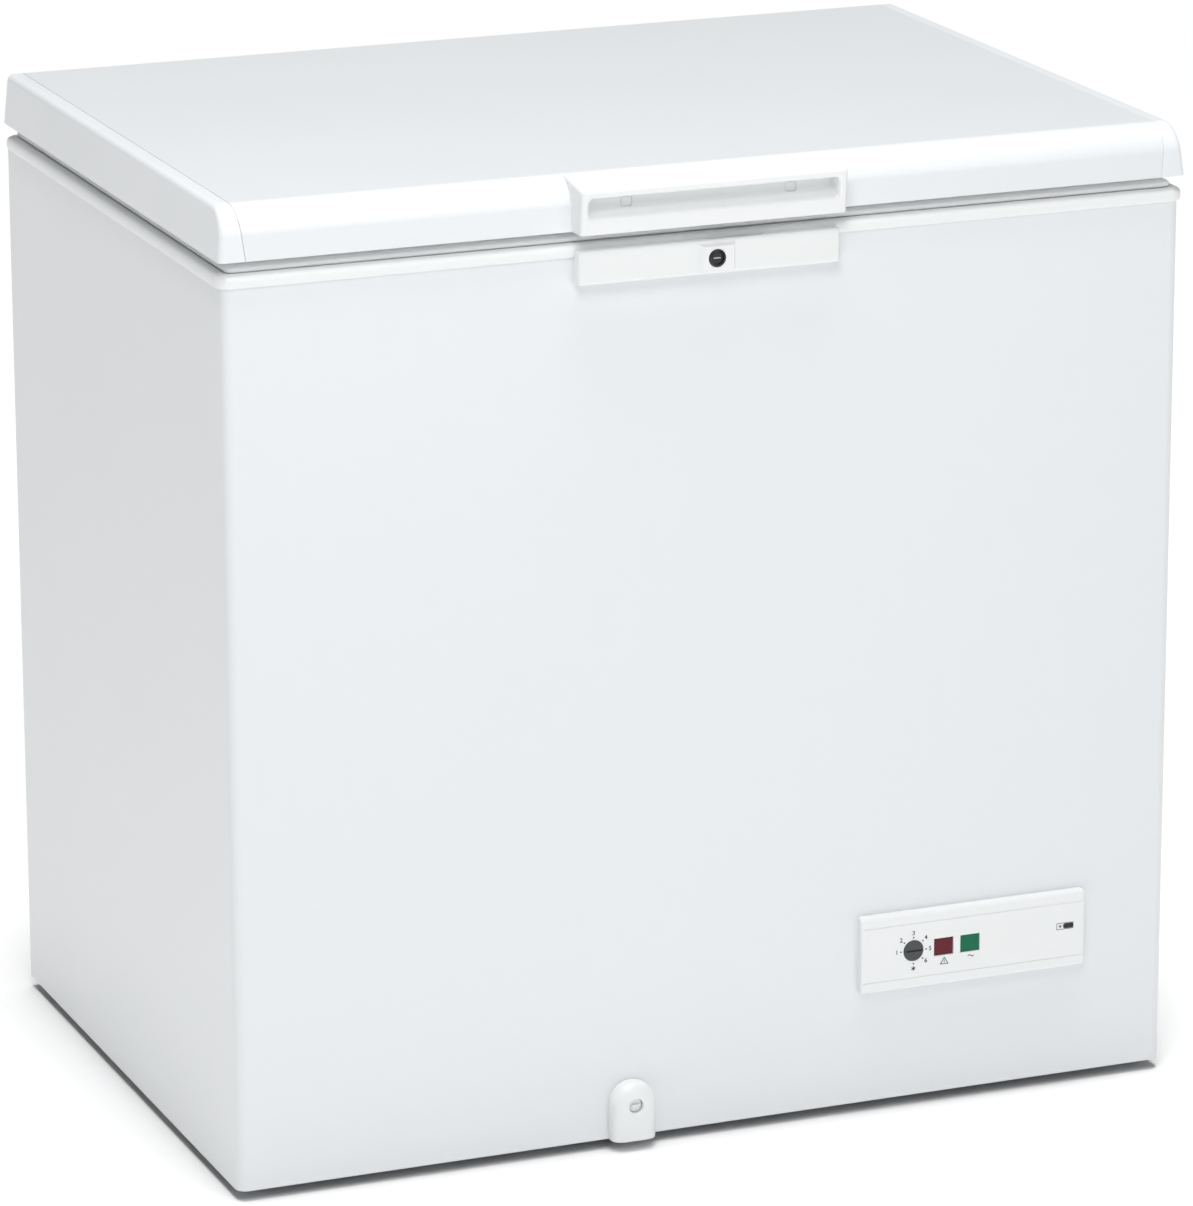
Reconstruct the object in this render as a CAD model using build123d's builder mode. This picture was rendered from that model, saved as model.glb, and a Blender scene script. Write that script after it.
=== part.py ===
from build123d import *
import os

# Sizes are in millimetres. X runs across the front, -Y is the front, Z is up from the floor.

# Cabinet sheet metal
CABINET_WIDTH = 926.0
CABINET_DEPTH = 633.0
SHEET_HEIGHT = 835.0
SHEET = 0.8
SHEET_CORNER_R = 10.0
RETURN_FLANGE = 14.0
BASE_SHEET = 1.0

# Feet
FOOT_HEIGHT = 10.0
FOOT_R = 19.0
FOOT_SIDES = 16
FOOT_SPIGOT_R = 6.0
FOOT_INSET = 60.0

# Tank, insulation and machine bay
INSULATION = 68.0
FLOOR_INSULATION = 66.0
LINER = 1.0
TANK_CORNER_R = 20.0
BAY_WIDTH = 292.0
BAY_HEIGHT = 228.0
BAY_INSULATION = 55.0

# Rim frame round the top of the cabinet
RIM_HEIGHT = 12.0
RIM_BULGE = 3.5
RIM_WALL = 3.0
RIM_NOSE = 3.2
LEDGE_DROP = 21.0
LEDGE_WIDTH = 12.0
RIM_LIP = 18.0

# Lid
LID_GAP = 12.0
LID_HEIGHT = 47.0
LID_OVERHANG = 3.5
LID_DRAFT = 5.0
LID_FRONT_R = 28.0
LID_EDGE_R = 8.0
LID_SKIN = 0.8
INNER_BEVEL = 0.58
RAIL_WALL = 2.5
RAIL_FOOT_WIDTH = 25.0
RAIL_TOP_WIDTH = 13.0
LID_LINER = 2.0
PLUG_DEPTH = 22.0
PLUG_CLEARANCE = 10.0
PLUG_TAPER = 12.0
SEAL_WIDTH = 20.0
SEAL_WAIST = 9.0
SEAL_BULB = 5.0
SEAL_INSET = 34.0
SEAL_GAP = 0.3

# Handle and lock stand a little left of the middle
FITTINGS_X = -10.0
HANDLE_WIDTH = 256.0
HANDLE_PROUD = 28.0
HANDLE_LIP_PROUD = 24.0
HANDLE_BACK = 17.0
HANDLE_CROWN = 0.8
HANDLE_END_R = 15.0
HANDLE_END_WALL = 7.0
NOSE_DROP = 14.0
NOSE_THICKNESS = 8.0
RECESS_BACK = 10.0
RECESS_FLOOR = 20.0
RECESS_SLOPE = 6.0
SCREW_COVER_SPREAD = 158.0
SCREW_COVER = (10.6, 8.6)
SCREW_COVER_THICKNESS = 1.4
COVER_CLEARANCE = 0.2

# Lock
LOCK_PLATE_WIDTH = 252.0
LOCK_PLATE_HEIGHT = 31.0
LOCK_PLATE_DROP = 23.5
LOCK_PLATE_PROUD = 15.0
LOCK_PLATE_WALL = 2.5
LOCK_PLATE_EDGE_R = 2.0
LOCK_BOSS = (38.0, 27.0)
LOCK_BOSS_PROUD = 3.5
LOCK_BOSS_TAPER = 35.0
BARREL_X = -5.0
BARREL_DROP = 8.3
BARREL_R = 8.2
BARREL_PROUD = 0.6
BARREL_FIT = 0.08
KEYWAY = (2.0, 9.0)
KEYWAY_DEPTH = 6.0
CAM_PROUD = 5.5
CAM_THICKNESS = 2.5
CAM_HALF_WIDTH = 4.0
CAM_HUB_R = 7.5
CAM_HUB_SIDES = 16
CAM_REACH = 46.5
CAM_NOSE = 5.0
CAM_NOSE_LEAD = 6.0
CAM_CLEARANCE = 1.0
LOCK_SILL = 6.0
STRIKER_THICKNESS = 1.2
STRIKER_DEPTH = 4.5

# Control panel
PANEL_INSET = 87.0
PANEL_HEIGHT_ABOVE_BASE = 146.0
PANEL_WIDTH = 230.0
PANEL_HEIGHT = 75.0
PANEL_PROUD = 9.0
PANEL_EDGE = 4.0
PANEL_BEVEL = 5.0
PANEL_WALL = 2.5
PANEL_GROOVE = 1.0
PANEL_GROOVE_INSET = 11.0
KNOB_DX = -62.0
KNOB_R = 9.7
KNOB_SIDES = 28
KNOB_PROUD = 0.8
KNOB_DEPTH = 2.9
KNOB_CLEARANCE = 0.5
KNOB_SLOT = 1.9
KNOB_SLOT_DEPTH = 1.5
SHAFT_R = 3.0
SHAFT_LENGTH = 14.0
SHAFT_FIT = 0.05
THERMOSTAT = (36.0, 40.0)
THERMOSTAT_DEPTH = 36.0
RED_DX = -31.0
GREEN_DX = -4.0
LENS = (19.6, 16.8)
LENS_CLEARANCE = 0.2
LENS_RECESS = 1.5
LENS_FLANGE = 2.0
LAMP_BLOCK_DEPTH = 24.0
PANEL_CUTOUT = (118.0, 52.0)
PANEL_CUTOUT_DX = -37.0

# Drain
DRAIN_X = -82.0
DRAIN_HEIGHT = 34.0
DRAIN_R = 22.0
DRAIN_PROUD = 16.0
DRAIN_BEVEL = 5.5
DRAIN_BORE_R = 7.0
DRAIN_TUBE_WALL = 3.0
DRAIN_SIDES = 16
ARCH_SIDES = 24
DRAIN_SETBACK = 60.0
DRAIN_FLANGE_R = 19.0
DRAIN_FLANGE = 1.5
PLUG_HEAD_R = 15.0
PLUG_HEAD = 5.0
PLUG_GRIP_R = 5.0
PLUG_GRIP = 8.0
PLUG_STEM = 14.0
PLUG_CLEARANCE_R = 0.6
STOPPER_CLEARANCE = 0.4
STOPPER_RECESS = 4.0
STOPPER_LENGTH = 10.0
STOPPER_GRIP = 2.2

# Hinges on the back
HINGE_SPREAD = 540.0
HINGE_WIDTH = 52.0
HINGE_DEPTH = 28.0
HINGE_STEEL = 2.0
HINGE_DROP = 120.0
HINGE_EAR = 18.0
AXIS_BACK = 14.0
AXIS_RISE = 10.0
AXIS_EAR_R = 9.0
ARM_EAR_R = 7.5
EAR_SIDES = 16
ARM_STEEL = 2.5
ARM_SIDE_CLEARANCE = 1.2
ARM_HEIGHT = 36.0
ARM_FOOT = 2.0
PIN_R = 4.0
PIN_FIT = 0.05
PIN_HEAD_R = 6.0
PIN_HEAD = 2.5
WEB_DROP = 6.0

# Machine bay fittings
GRILLE_SIZE = (200.0, 130.0)
GRILLE_Y = 60.0
GRILLE_Z = 125.0
GRILLE_THICKNESS = 2.6
GRILLE_BORDER = 12.0
GRILLE_SLOTS = 9
GRILLE_SLOT = 6.0
REAR_COVER_MARGIN = (15.0, 11.0)
REAR_COVER_STEEL = 1.0
REAR_COVER_LAP = 12.0
REAR_SLOTS = 8
REAR_SLOT = (86.0, 5.0)
GLAND_R = 10.0
GLAND_BORE_R = 4.0
GLAND_SIDES = 12
GLAND_PROUD = 9.0
GLAND_INSET = 34.0
COMPRESSOR_SETBACK = 190.0
COMPRESSOR_R = 72.0
COMPRESSOR_STRETCH = 32.0
COMPRESSOR_SIDES = 16
COMPRESSOR_HEIGHT = 118.0
COMPRESSOR_CROWN = ((22.0, 22.0), (18.0, 52.0))
COMPRESSOR_SEAM = (4.0, 5.0)
COMPRESSOR_SEAM_HEIGHT = 70.0
COMPRESSOR_FEET = (190.0, 120.0)
COMPRESSOR_FOOT_PLATE = 3.0
GROMMET_R = 13.0
GROMMET_HEIGHT = 16.0
GROMMET_PITCH = (164.0, 94.0)
RELAY_BOX = (34.0, 30.0, 58.0)
RELAY_HEIGHT = 52.0
RELAY_EDGE_R = 6.0
PIPE_R = 4.0
PIPE_SIDES = 8
PIPE_STUB = 36.0
PIPE_BEND = 12.0
SUCTION_HEIGHT = 88.0
DISCHARGE_HEIGHT = 62.0
DRIER_R = 10.0
DRIER_LENGTH = 92.0
DRIER_SIDES = 12
DRIER_NECK = 6.0
DRIER_OFFSET = 28.0

# Wire basket that hangs from the rim ledge
BASKET_WIDTH = 250.0
BASKET_HEIGHT = 190.0
BASKET_DRAFT = 18.0
BASKET_SIDE_GAP = 14.0
BASKET_END_GAP = 12.0
FRAME_WIRE_R = 3.0
MESH_WIRE_R = 2.0
WELD = 1.0
WIRE_SIDES = 6
CROSS_WIRES = 6
LONG_WIRES = 4
HANGER_INSET = 40.0
HANGER_GAP = 0.3
HANGER_END_GAP = 3.0

# Places worked out from the sizes above
HALF_WIDTH = CABINET_WIDTH / 2
BODY_Y = (HANDLE_PROUD - HINGE_DEPTH) / 2
FRONT = BODY_Y - CABINET_DEPTH / 2
BACK = BODY_Y + CABINET_DEPTH / 2
BASE_Z = FOOT_HEIGHT
FLOOR_Z = BASE_Z + BASE_SHEET
SEAM_Z = BASE_Z + SHEET_HEIGHT
RIM_TOP = SEAM_Z + RIM_HEIGHT
LEDGE_Z = RIM_TOP - LEDGE_DROP
LINER_TOP = LEDGE_Z - RIM_WALL
LIP_BOTTOM = LINER_TOP - RIM_LIP
LID_BOTTOM = RIM_TOP + LID_GAP
LID_TOP = LID_BOTTOM + LID_HEIGHT
LID_HALF = HALF_WIDTH + LID_OVERHANG
LID_FRONT = FRONT - LID_OVERHANG
LID_REAR = BACK + LID_OVERHANG
FOAM_FRONT = FRONT + SHEET
FOAM_REAR = BACK - 2 * SHEET
TANK_WIDTH = CABINET_WIDTH - 2 * SHEET - 2 * INSULATION
TANK_DEPTH = FOAM_REAR - FOAM_FRONT - 2 * INSULATION
TANK_Y = (FOAM_FRONT + FOAM_REAR) / 2
TANK_FLOOR = FLOOR_Z + FLOOR_INSULATION
MOUTH_GROW = LEDGE_WIDTH - LINER - RIM_WALL
BAY_X = HALF_WIDTH - SHEET - BAY_WIDTH
BAY_TOP = FLOOR_Z + BAY_HEIGHT
STEP_X = BAY_X - BAY_INSULATION
STEP_TOP = BAY_TOP + BAY_INSULATION
PANEL_X = HALF_WIDTH - PANEL_INSET - PANEL_WIDTH / 2
PANEL_Z = BASE_Z + PANEL_HEIGHT_ABOVE_BASE
PANEL_INSIDE = PANEL_PROUD - PANEL_WALL
AXIS_Y = BACK + AXIS_BACK
AXIS_Z = SEAM_Z + AXIS_RISE
BARREL_Z = SEAM_Z - BARREL_DROP
DRAIN_Y = FRONT + SHEET + INSULATION + DRAIN_SETBACK
DRAIN_Z = BASE_Z + DRAIN_HEIGHT
DRAIN_TUBE_R = DRAIN_BORE_R + DRAIN_TUBE_WALL
DRAIN_SEAT = TANK_FLOOR + LINER + DRAIN_FLANGE
BAY_MIDDLE = (BAY_X + HALF_WIDTH) / 2
REAR_COVER = (BAY_WIDTH - 2 * REAR_COVER_MARGIN[0], BAY_HEIGHT - 2 * REAR_COVER_MARGIN[1])
SIDES = {"left": -1, "right": 1}

os.makedirs("parts", exist_ok=True)


def write_node(builder, name):
    """Labels a finished piece and writes it as its own STEP file."""
    builder.part.label = name
    export_step(builder.part, f"parts/{name}.step")


def front_plane(proud):
    """Sketch plane facing the front, X across and Z up, that far in front of the sheet."""
    return Plane.XZ.offset(proud - FRONT)


def back_plane(proud):
    """Sketch plane facing the front, X across and Z up, that far behind the rear panel."""
    return Plane.XZ.offset(-BACK - proud)


def shell_block(inset, rear, low, high):
    """Upright block with the cabinet's plan: rounded front corners, square at the rear."""
    with BuildPart() as block:
        with BuildSketch(Plane.XY.offset(low)) as plan:
            with Locations((0, FRONT + inset)):
                Rectangle(
                    CABINET_WIDTH - 2 * inset,
                    rear - FRONT - inset,
                    align=(Align.CENTER, Align.MIN),
                )
            fillet(plan.vertices().group_by(Axis.Y)[0], SHEET_CORNER_R - inset)
        extrude(amount=high - low)
    return block.part


def tank_prism(grow, low, high):
    """Upright block with the tank's rounded plan, grown all round."""
    with BuildPart() as block:
        with BuildSketch(Plane.XY.offset(low)):
            with Locations((0, TANK_Y)):
                RectangleRounded(TANK_WIDTH + 2 * grow, TANK_DEPTH + 2 * grow, TANK_CORNER_R + grow)
        extrude(amount=high - low)
    return block.part


def step_block(grow):
    """The room over the machine bay that the tank steps round, grown up and to the left."""
    with BuildPart() as block:
        with BuildSketch(Plane.XY.offset(TANK_FLOOR)):
            with Locations((STEP_X - grow, TANK_Y)):
                Rectangle(CABINET_WIDTH, CABINET_DEPTH, align=(Align.MIN, Align.CENTER))
        extrude(amount=STEP_TOP + grow - TANK_FLOOR)
    return block.part


def lid_block(inset):
    """The lid's outer form, drawn in by a wall: bull-nosed front, drafted ends, upright rear."""
    top = LID_TOP - inset
    half = LID_HALF - inset
    with BuildPart() as block:
        with BuildSketch(Plane.YZ) as side_view:
            with BuildLine():
                Polyline(
                    (LID_FRONT + inset, LID_BOTTOM),
                    (LID_FRONT + inset + LID_DRAFT, top),
                    (LID_REAR - inset, top),
                    (LID_REAR - inset, LID_BOTTOM),
                    close=True,
                )
            make_face()
            crown = side_view.vertices().group_by(Axis.Y)[-1].sort_by(Axis.X)
            fillet(crown[0], LID_FRONT_R - inset)
        extrude(amount=half, both=True)
        for hand in SIDES.values():
            with BuildSketch(Plane.XZ):
                with BuildLine():
                    Polyline(
                        (hand * half, LID_BOTTOM),
                        (hand * (half - LID_DRAFT), top),
                        (hand * (half + LID_DRAFT), top),
                        (hand * (half + LID_DRAFT), LID_BOTTOM),
                        close=True,
                    )
                make_face()
            extrude(amount=CABINET_DEPTH, both=True, mode=Mode.SUBTRACT)
        sharp = block.edges() - block.faces().sort_by(Axis.Z)[0].edges()
        smooth = sharp.filter_by(Axis.X).sort_by(Axis.Y)[:-1]
        if inset > 0:
            chamfer(sharp - smooth, INNER_BEVEL * (LID_EDGE_R - inset))
        else:
            fillet(sharp - smooth, LID_EDGE_R)
    return block.part


def rail_slice(side):
    """The end of the lid that a rail takes up, wider at its foot than at the top."""
    edge = side * LID_HALF
    outside = edge + side * RAIL_FOOT_WIDTH
    with BuildPart() as block:
        with BuildSketch(Plane.XZ):
            with BuildLine():
                Polyline(
                    (outside, LID_BOTTOM),
                    (edge - side * RAIL_FOOT_WIDTH, LID_BOTTOM),
                    (edge - side * RAIL_TOP_WIDTH, LID_TOP),
                    (outside, LID_TOP),
                    close=True,
                )
            make_face()
        extrude(amount=CABINET_DEPTH, both=True)
    return block.part


def plug_block(inset):
    """The lid liner's plug, which reaches down into the mouth of the tank."""
    grow = MOUTH_GROW - PLUG_CLEARANCE - inset
    with BuildPart() as block:
        with BuildSketch(Plane.XY.offset(LID_BOTTOM + LID_LINER)):
            with Locations((0, TANK_Y)):
                RectangleRounded(TANK_WIDTH + 2 * grow, TANK_DEPTH + 2 * grow, TANK_CORNER_R + grow)
        extrude(amount=inset - PLUG_DEPTH - LID_LINER, taper=PLUG_TAPER)
    return block.part


# Outer wrapper: front and both sides in one bent sheet, with the openings cut in it
with BuildPart() as outer_wrapper:
    add(shell_block(0, BACK - SHEET, BASE_Z, SEAM_Z))
    add(shell_block(SHEET, FOAM_REAR, BASE_Z, SEAM_Z), mode=Mode.SUBTRACT)
    with BuildSketch(Plane.XY.offset(BASE_Z)):
        with Locations((0, BACK - 2 * SHEET)):
            Rectangle(CABINET_WIDTH - 2 * RETURN_FLANGE, 4 * SHEET)
    extrude(amount=SHEET_HEIGHT, mode=Mode.SUBTRACT)
    with BuildSketch(front_plane(0)):
        with Locations((PANEL_X + PANEL_CUTOUT_DX, PANEL_Z)):
            Rectangle(*PANEL_CUTOUT)
        with Locations((DRAIN_X, DRAIN_Z)):
            RegularPolygon(DRAIN_TUBE_R, DRAIN_SIDES)
    extrude(amount=-2 * SHEET, mode=Mode.SUBTRACT)
    with BuildSketch(Plane.YZ.offset(HALF_WIDTH)):
        with Locations((BODY_Y + GRILLE_Y, BASE_Z + GRILLE_Z)):
            Rectangle(GRILLE_SIZE[0] - 2 * GRILLE_BORDER, GRILLE_SIZE[1] - 2 * GRILLE_BORDER)
    extrude(amount=-2 * SHEET, mode=Mode.SUBTRACT)
write_node(outer_wrapper, "outer_wrapper")

# Rear panel: flat sheet on the wrapper's return flanges, open behind the machine bay
with BuildPart() as rear_panel:
    with BuildSketch(back_plane(0)):
        with Locations((0, BASE_Z)):
            Rectangle(CABINET_WIDTH, SHEET_HEIGHT, align=(Align.CENTER, Align.MIN))
        with Locations((BAY_MIDDLE, FLOOR_Z + BAY_HEIGHT / 2)):
            Rectangle(
                REAR_COVER[0] - 2 * REAR_COVER_LAP,
                REAR_COVER[1] - 2 * REAR_COVER_LAP,
                mode=Mode.SUBTRACT,
            )
    extrude(amount=SHEET)
write_node(rear_panel, "rear_panel")

# Base pan under the foam and the bay, with a hole for each foot's spigot
FOOT_PITCH = (CABINET_WIDTH - 2 * FOOT_INSET, CABINET_DEPTH - 2 * FOOT_INSET)
with BuildPart() as base_pan:
    add(shell_block(SHEET, FOAM_REAR, BASE_Z, FLOOR_Z))
    with BuildSketch(Plane.XY.offset(BASE_Z)):
        with Locations((0, BODY_Y)):
            with GridLocations(*FOOT_PITCH, 2, 2):
                RegularPolygon(FOOT_SPIGOT_R, 8)
    extrude(amount=BASE_SHEET, mode=Mode.SUBTRACT)
write_node(base_pan, "base_pan")

# Feet: four round glides, each with a spigot in the base pan
with BuildPart() as feet:
    with BuildSketch(Plane.XY.offset(FOOT_HEIGHT)):
        with Locations((0, BODY_Y)):
            with GridLocations(*FOOT_PITCH, 2, 2):
                RegularPolygon(FOOT_R, FOOT_SIDES)
    extrude(amount=-FOOT_HEIGHT)
    with BuildSketch(Plane.XY.offset(FOOT_HEIGHT)):
        with Locations((0, BODY_Y)):
            with GridLocations(*FOOT_PITCH, 2, 2):
                RegularPolygon(FOOT_SPIGOT_R, 8)
    extrude(amount=BASE_SHEET)
write_node(feet, "feet")

# Bay lining: bent sheet that keeps the foam out of the machine bay
with BuildPart() as bay_lining:
    with BuildSketch(front_plane(-SHEET)):
        with Locations((BAY_X, FLOOR_Z)):
            Rectangle(BAY_WIDTH, BAY_HEIGHT, align=Align.MIN)
        with Locations((BAY_X + SHEET, FLOOR_Z)):
            Rectangle(BAY_WIDTH, BAY_HEIGHT - SHEET, align=Align.MIN, mode=Mode.SUBTRACT)
    extrude(amount=FOAM_FRONT - FOAM_REAR)
    add(shell_block(SHEET, FOAM_REAR, FLOOR_Z, BAY_TOP), mode=Mode.INTERSECT)
write_node(bay_lining, "bay_lining")

# Tank liner: the walls in one wrap
with BuildPart() as inner_liner:
    add(tank_prism(0, TANK_FLOOR, LINER_TOP))
    add(tank_prism(-LINER, TANK_FLOOR, LINER_TOP), mode=Mode.SUBTRACT)
    add(step_block(0), mode=Mode.SUBTRACT)
write_node(inner_liner, "inner_liner")

# Floor sheet of the tank, with the drain hole
with BuildPart() as liner_floor:
    add(tank_prism(-LINER, TANK_FLOOR, TANK_FLOOR + LINER))
    add(step_block(LINER), mode=Mode.SUBTRACT)
    with BuildSketch(Plane.XY.offset(TANK_FLOOR)):
        with Locations((DRAIN_X, DRAIN_Y)):
            RegularPolygon(DRAIN_TUBE_R, DRAIN_SIDES)
    extrude(amount=LINER, mode=Mode.SUBTRACT)
write_node(liner_floor, "liner_floor")

# Bent sheet over the machine bay: the step's riser and tread
with BuildPart() as liner_step:
    add(tank_prism(-LINER, TANK_FLOOR, STEP_TOP + LINER))
    add(step_block(LINER), mode=Mode.INTERSECT)
    add(step_block(0), mode=Mode.SUBTRACT)
write_node(liner_step, "liner_step")

# Rim frame: bevelled outer nose, flat seal land, basket ledge and a lip inside the liner
with BuildPart() as rim_frame:
    with BuildSketch(Plane.XY.offset(SEAM_Z)):
        with Locations((0, BODY_Y)):
            RectangleRounded(
                CABINET_WIDTH + 2 * RIM_BULGE,
                CABINET_DEPTH + 2 * RIM_BULGE,
                SHEET_CORNER_R + RIM_BULGE,
            )
    extrude(amount=RIM_HEIGHT)
    chamfer(rim_frame.faces().sort_by(Axis.Z)[-1].edges(), RIM_NOSE)
    chamfer(rim_frame.faces().sort_by(Axis.Z)[0].edges(), RIM_NOSE)
    add(shell_block(SHEET, FOAM_REAR, SEAM_Z, RIM_TOP - RIM_WALL), mode=Mode.SUBTRACT)
    add(tank_prism(MOUTH_GROW + RIM_WALL, LINER_TOP, RIM_TOP - RIM_WALL))
    add(tank_prism(-LINER, LIP_BOTTOM, LINER_TOP))
    add(tank_prism(MOUTH_GROW, LEDGE_Z, RIM_TOP), mode=Mode.SUBTRACT)
    add(tank_prism(-LINER - RIM_WALL, LIP_BOTTOM, LEDGE_Z), mode=Mode.SUBTRACT)
write_node(rim_frame, "rim_frame")

# Drain tube: from the tank floor down and out to the front, with a flange on the floor
with BuildPart() as drain_tube:
    for radius, mode in ((DRAIN_TUBE_R, Mode.ADD), (DRAIN_BORE_R, Mode.SUBTRACT)):
        with BuildSketch(front_plane(0)):
            with Locations((DRAIN_X, DRAIN_Z)):
                RegularPolygon(radius, DRAIN_SIDES)
        extrude(amount=FRONT - DRAIN_Y - radius, mode=mode)
        with BuildSketch(Plane.XY.offset(DRAIN_Z)):
            with Locations((DRAIN_X, DRAIN_Y)):
                RegularPolygon(radius, DRAIN_SIDES)
        extrude(amount=DRAIN_SEAT - DRAIN_Z, mode=mode)
    with BuildSketch(Plane.XY.offset(DRAIN_SEAT - DRAIN_FLANGE)):
        with Locations((DRAIN_X, DRAIN_Y)):
            RegularPolygon(DRAIN_FLANGE_R, ARCH_SIDES)
            RegularPolygon(DRAIN_BORE_R, DRAIN_SIDES, mode=Mode.SUBTRACT)
    extrude(amount=DRAIN_FLANGE)
write_node(drain_tube, "drain_tube")


def foam_step():
    """The foam between the machine bay and the step in the tank."""
    with BuildPart() as block:
        add(tank_prism(0, TANK_FLOOR, STEP_TOP))
        add(step_block(0), mode=Mode.INTERSECT)
    return block.part


# Foam between the sheet, the liner, the rim and the bay lining
with BuildPart() as cabinet_foam:
    add(shell_block(SHEET, FOAM_REAR, FLOOR_Z, RIM_TOP - RIM_WALL))
    add(tank_prism(0, TANK_FLOOR, LINER_TOP), mode=Mode.SUBTRACT)
    add(tank_prism(MOUTH_GROW + RIM_WALL, LINER_TOP, RIM_TOP), mode=Mode.SUBTRACT)
    add(foam_step())
    with BuildSketch(front_plane(-SHEET)):
        with Locations((BAY_X, FLOOR_Z)):
            Rectangle(BAY_WIDTH, BAY_HEIGHT, align=Align.MIN)
    extrude(amount=FOAM_FRONT - FOAM_REAR, mode=Mode.SUBTRACT)
    with BuildSketch(Plane.YZ.offset(DRAIN_X)):
        with Locations((FRONT, DRAIN_Z - DRAIN_TUBE_R)):
            Rectangle(DRAIN_Y - FRONT + DRAIN_TUBE_R, 2 * DRAIN_TUBE_R, align=Align.MIN)
        with Locations((DRAIN_Y - DRAIN_TUBE_R, DRAIN_Z)):
            Rectangle(2 * DRAIN_TUBE_R, TANK_FLOOR - DRAIN_Z, align=Align.MIN)
    extrude(amount=DRAIN_TUBE_R, both=True, mode=Mode.SUBTRACT)
write_node(cabinet_foam, "cabinet_foam")

# Drain housing: arched moulding on the front, bevelled all round its face, with the outlet bore
with BuildPart() as drain_housing:
    with BuildSketch(front_plane(0)):
        with Locations((DRAIN_X, DRAIN_Z)):
            RegularPolygon(DRAIN_R, ARCH_SIDES)
            Rectangle(2 * DRAIN_R, DRAIN_HEIGHT, align=(Align.CENTER, Align.MAX))
    extrude(amount=DRAIN_PROUD)
    face_edges = drain_housing.faces().sort_by(Axis.Y)[0].edges()
    chamfer(face_edges.sort_by(Axis.Z)[1:], DRAIN_BEVEL)
    with BuildSketch(front_plane(0)):
        with Locations((DRAIN_X, DRAIN_Z)):
            RegularPolygon(DRAIN_BORE_R, ARCH_SIDES)
    extrude(amount=DRAIN_PROUD, mode=Mode.SUBTRACT)
write_node(drain_housing, "drain_housing")

# Outlet stopper: pulls forward out of the housing's bore by a bar across its face
with BuildPart() as outlet_stopper:
    with BuildSketch(front_plane(DRAIN_PROUD - STOPPER_RECESS - STOPPER_LENGTH)):
        with Locations((DRAIN_X, DRAIN_Z)):
            RegularPolygon(DRAIN_BORE_R - STOPPER_CLEARANCE, ARCH_SIDES)
    extrude(amount=STOPPER_LENGTH)
    with BuildSketch(front_plane(DRAIN_PROUD - STOPPER_RECESS)):
        with Locations((DRAIN_X, DRAIN_Z)):
            Rectangle(DRAIN_BORE_R, STOPPER_GRIP)
    extrude(amount=STOPPER_GRIP)
write_node(outlet_stopper, "outlet_stopper")

# Tank plug: flat round head with a grip on the drain flange, stem in the tube
with BuildPart() as drain_plug:
    plug_layers = (
        (DRAIN_BORE_R - PLUG_CLEARANCE_R, DRAIN_SEAT - PLUG_STEM, DRAIN_SEAT),
        (PLUG_HEAD_R, DRAIN_SEAT, DRAIN_SEAT + PLUG_HEAD),
        (PLUG_GRIP_R, DRAIN_SEAT + PLUG_HEAD, DRAIN_SEAT + PLUG_HEAD + PLUG_GRIP),
    )
    for radius, low, high in plug_layers:
        with BuildSketch(Plane.XY.offset(low)):
            with Locations((DRAIN_X, DRAIN_Y)):
                RegularPolygon(radius, DRAIN_SIDES)
        extrude(amount=high - low)
write_node(drain_plug, "drain_plug")

# Lid end rails: moulded ends whose front returns show as corner caps
for side_name, side in SIDES.items():
    with BuildPart() as rail:
        add(lid_block(0))
        add(lid_block(RAIL_WALL), mode=Mode.SUBTRACT)
        add(rail_slice(side), mode=Mode.INTERSECT)
    write_node(rail, f"lid_rail_{side_name}")

# Lid skin: bent sheet over the top, front and rear, between the rails
with BuildPart() as lid_skin:
    add(lid_block(0))
    add(lid_block(LID_SKIN), mode=Mode.SUBTRACT)
    for side in SIDES.values():
        add(rail_slice(side), mode=Mode.SUBTRACT)
write_node(lid_skin, "lid_skin")


def rail_room(side):
    """The room inside one rail's wall."""
    with BuildPart() as block:
        add(lid_block(RAIL_WALL))
        add(rail_slice(side), mode=Mode.INTERSECT)
    return block.part


# Lid liner: flange across the skirt, inside the skin and both rails, and a drafted plug inside the seal
with BuildPart() as lid_liner:
    add(lid_block(LID_SKIN))
    for side in SIDES.values():
        add(rail_slice(side), mode=Mode.SUBTRACT)
    for side in SIDES.values():
        add(rail_room(side))
    with BuildSketch(Plane.XY.offset(LID_BOTTOM)):
        with Locations((0, BODY_Y)):
            Rectangle(2 * CABINET_WIDTH, 2 * CABINET_DEPTH)
    extrude(amount=LID_LINER, mode=Mode.INTERSECT)
    add(plug_block(0))
    add(plug_block(LID_LINER), mode=Mode.SUBTRACT)
write_node(lid_liner, "lid_liner")

# Lid foam between the liner, the plug and the skin, bevelled behind the bull-nose
with BuildPart() as lid_foam:
    foam_half = LID_HALF - RAIL_FOOT_WIDTH
    with BuildSketch(Plane.YZ) as foam_view:
        with Locations((LID_REAR - LID_EDGE_R, LID_BOTTOM + LID_LINER)):
            Rectangle(
                LID_REAR - LID_FRONT - LID_EDGE_R - LID_DRAFT,
                LID_HEIGHT - LID_LINER - LID_SKIN,
                align=(Align.MAX, Align.MIN),
            )
        chamfer(foam_view.vertices().group_by(Axis.Y)[-1].sort_by(Axis.X)[0], LID_FRONT_R)
    extrude(amount=foam_half, both=True)
    add(plug_block(LID_LINER))
write_node(lid_foam, "lid_foam")

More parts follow.
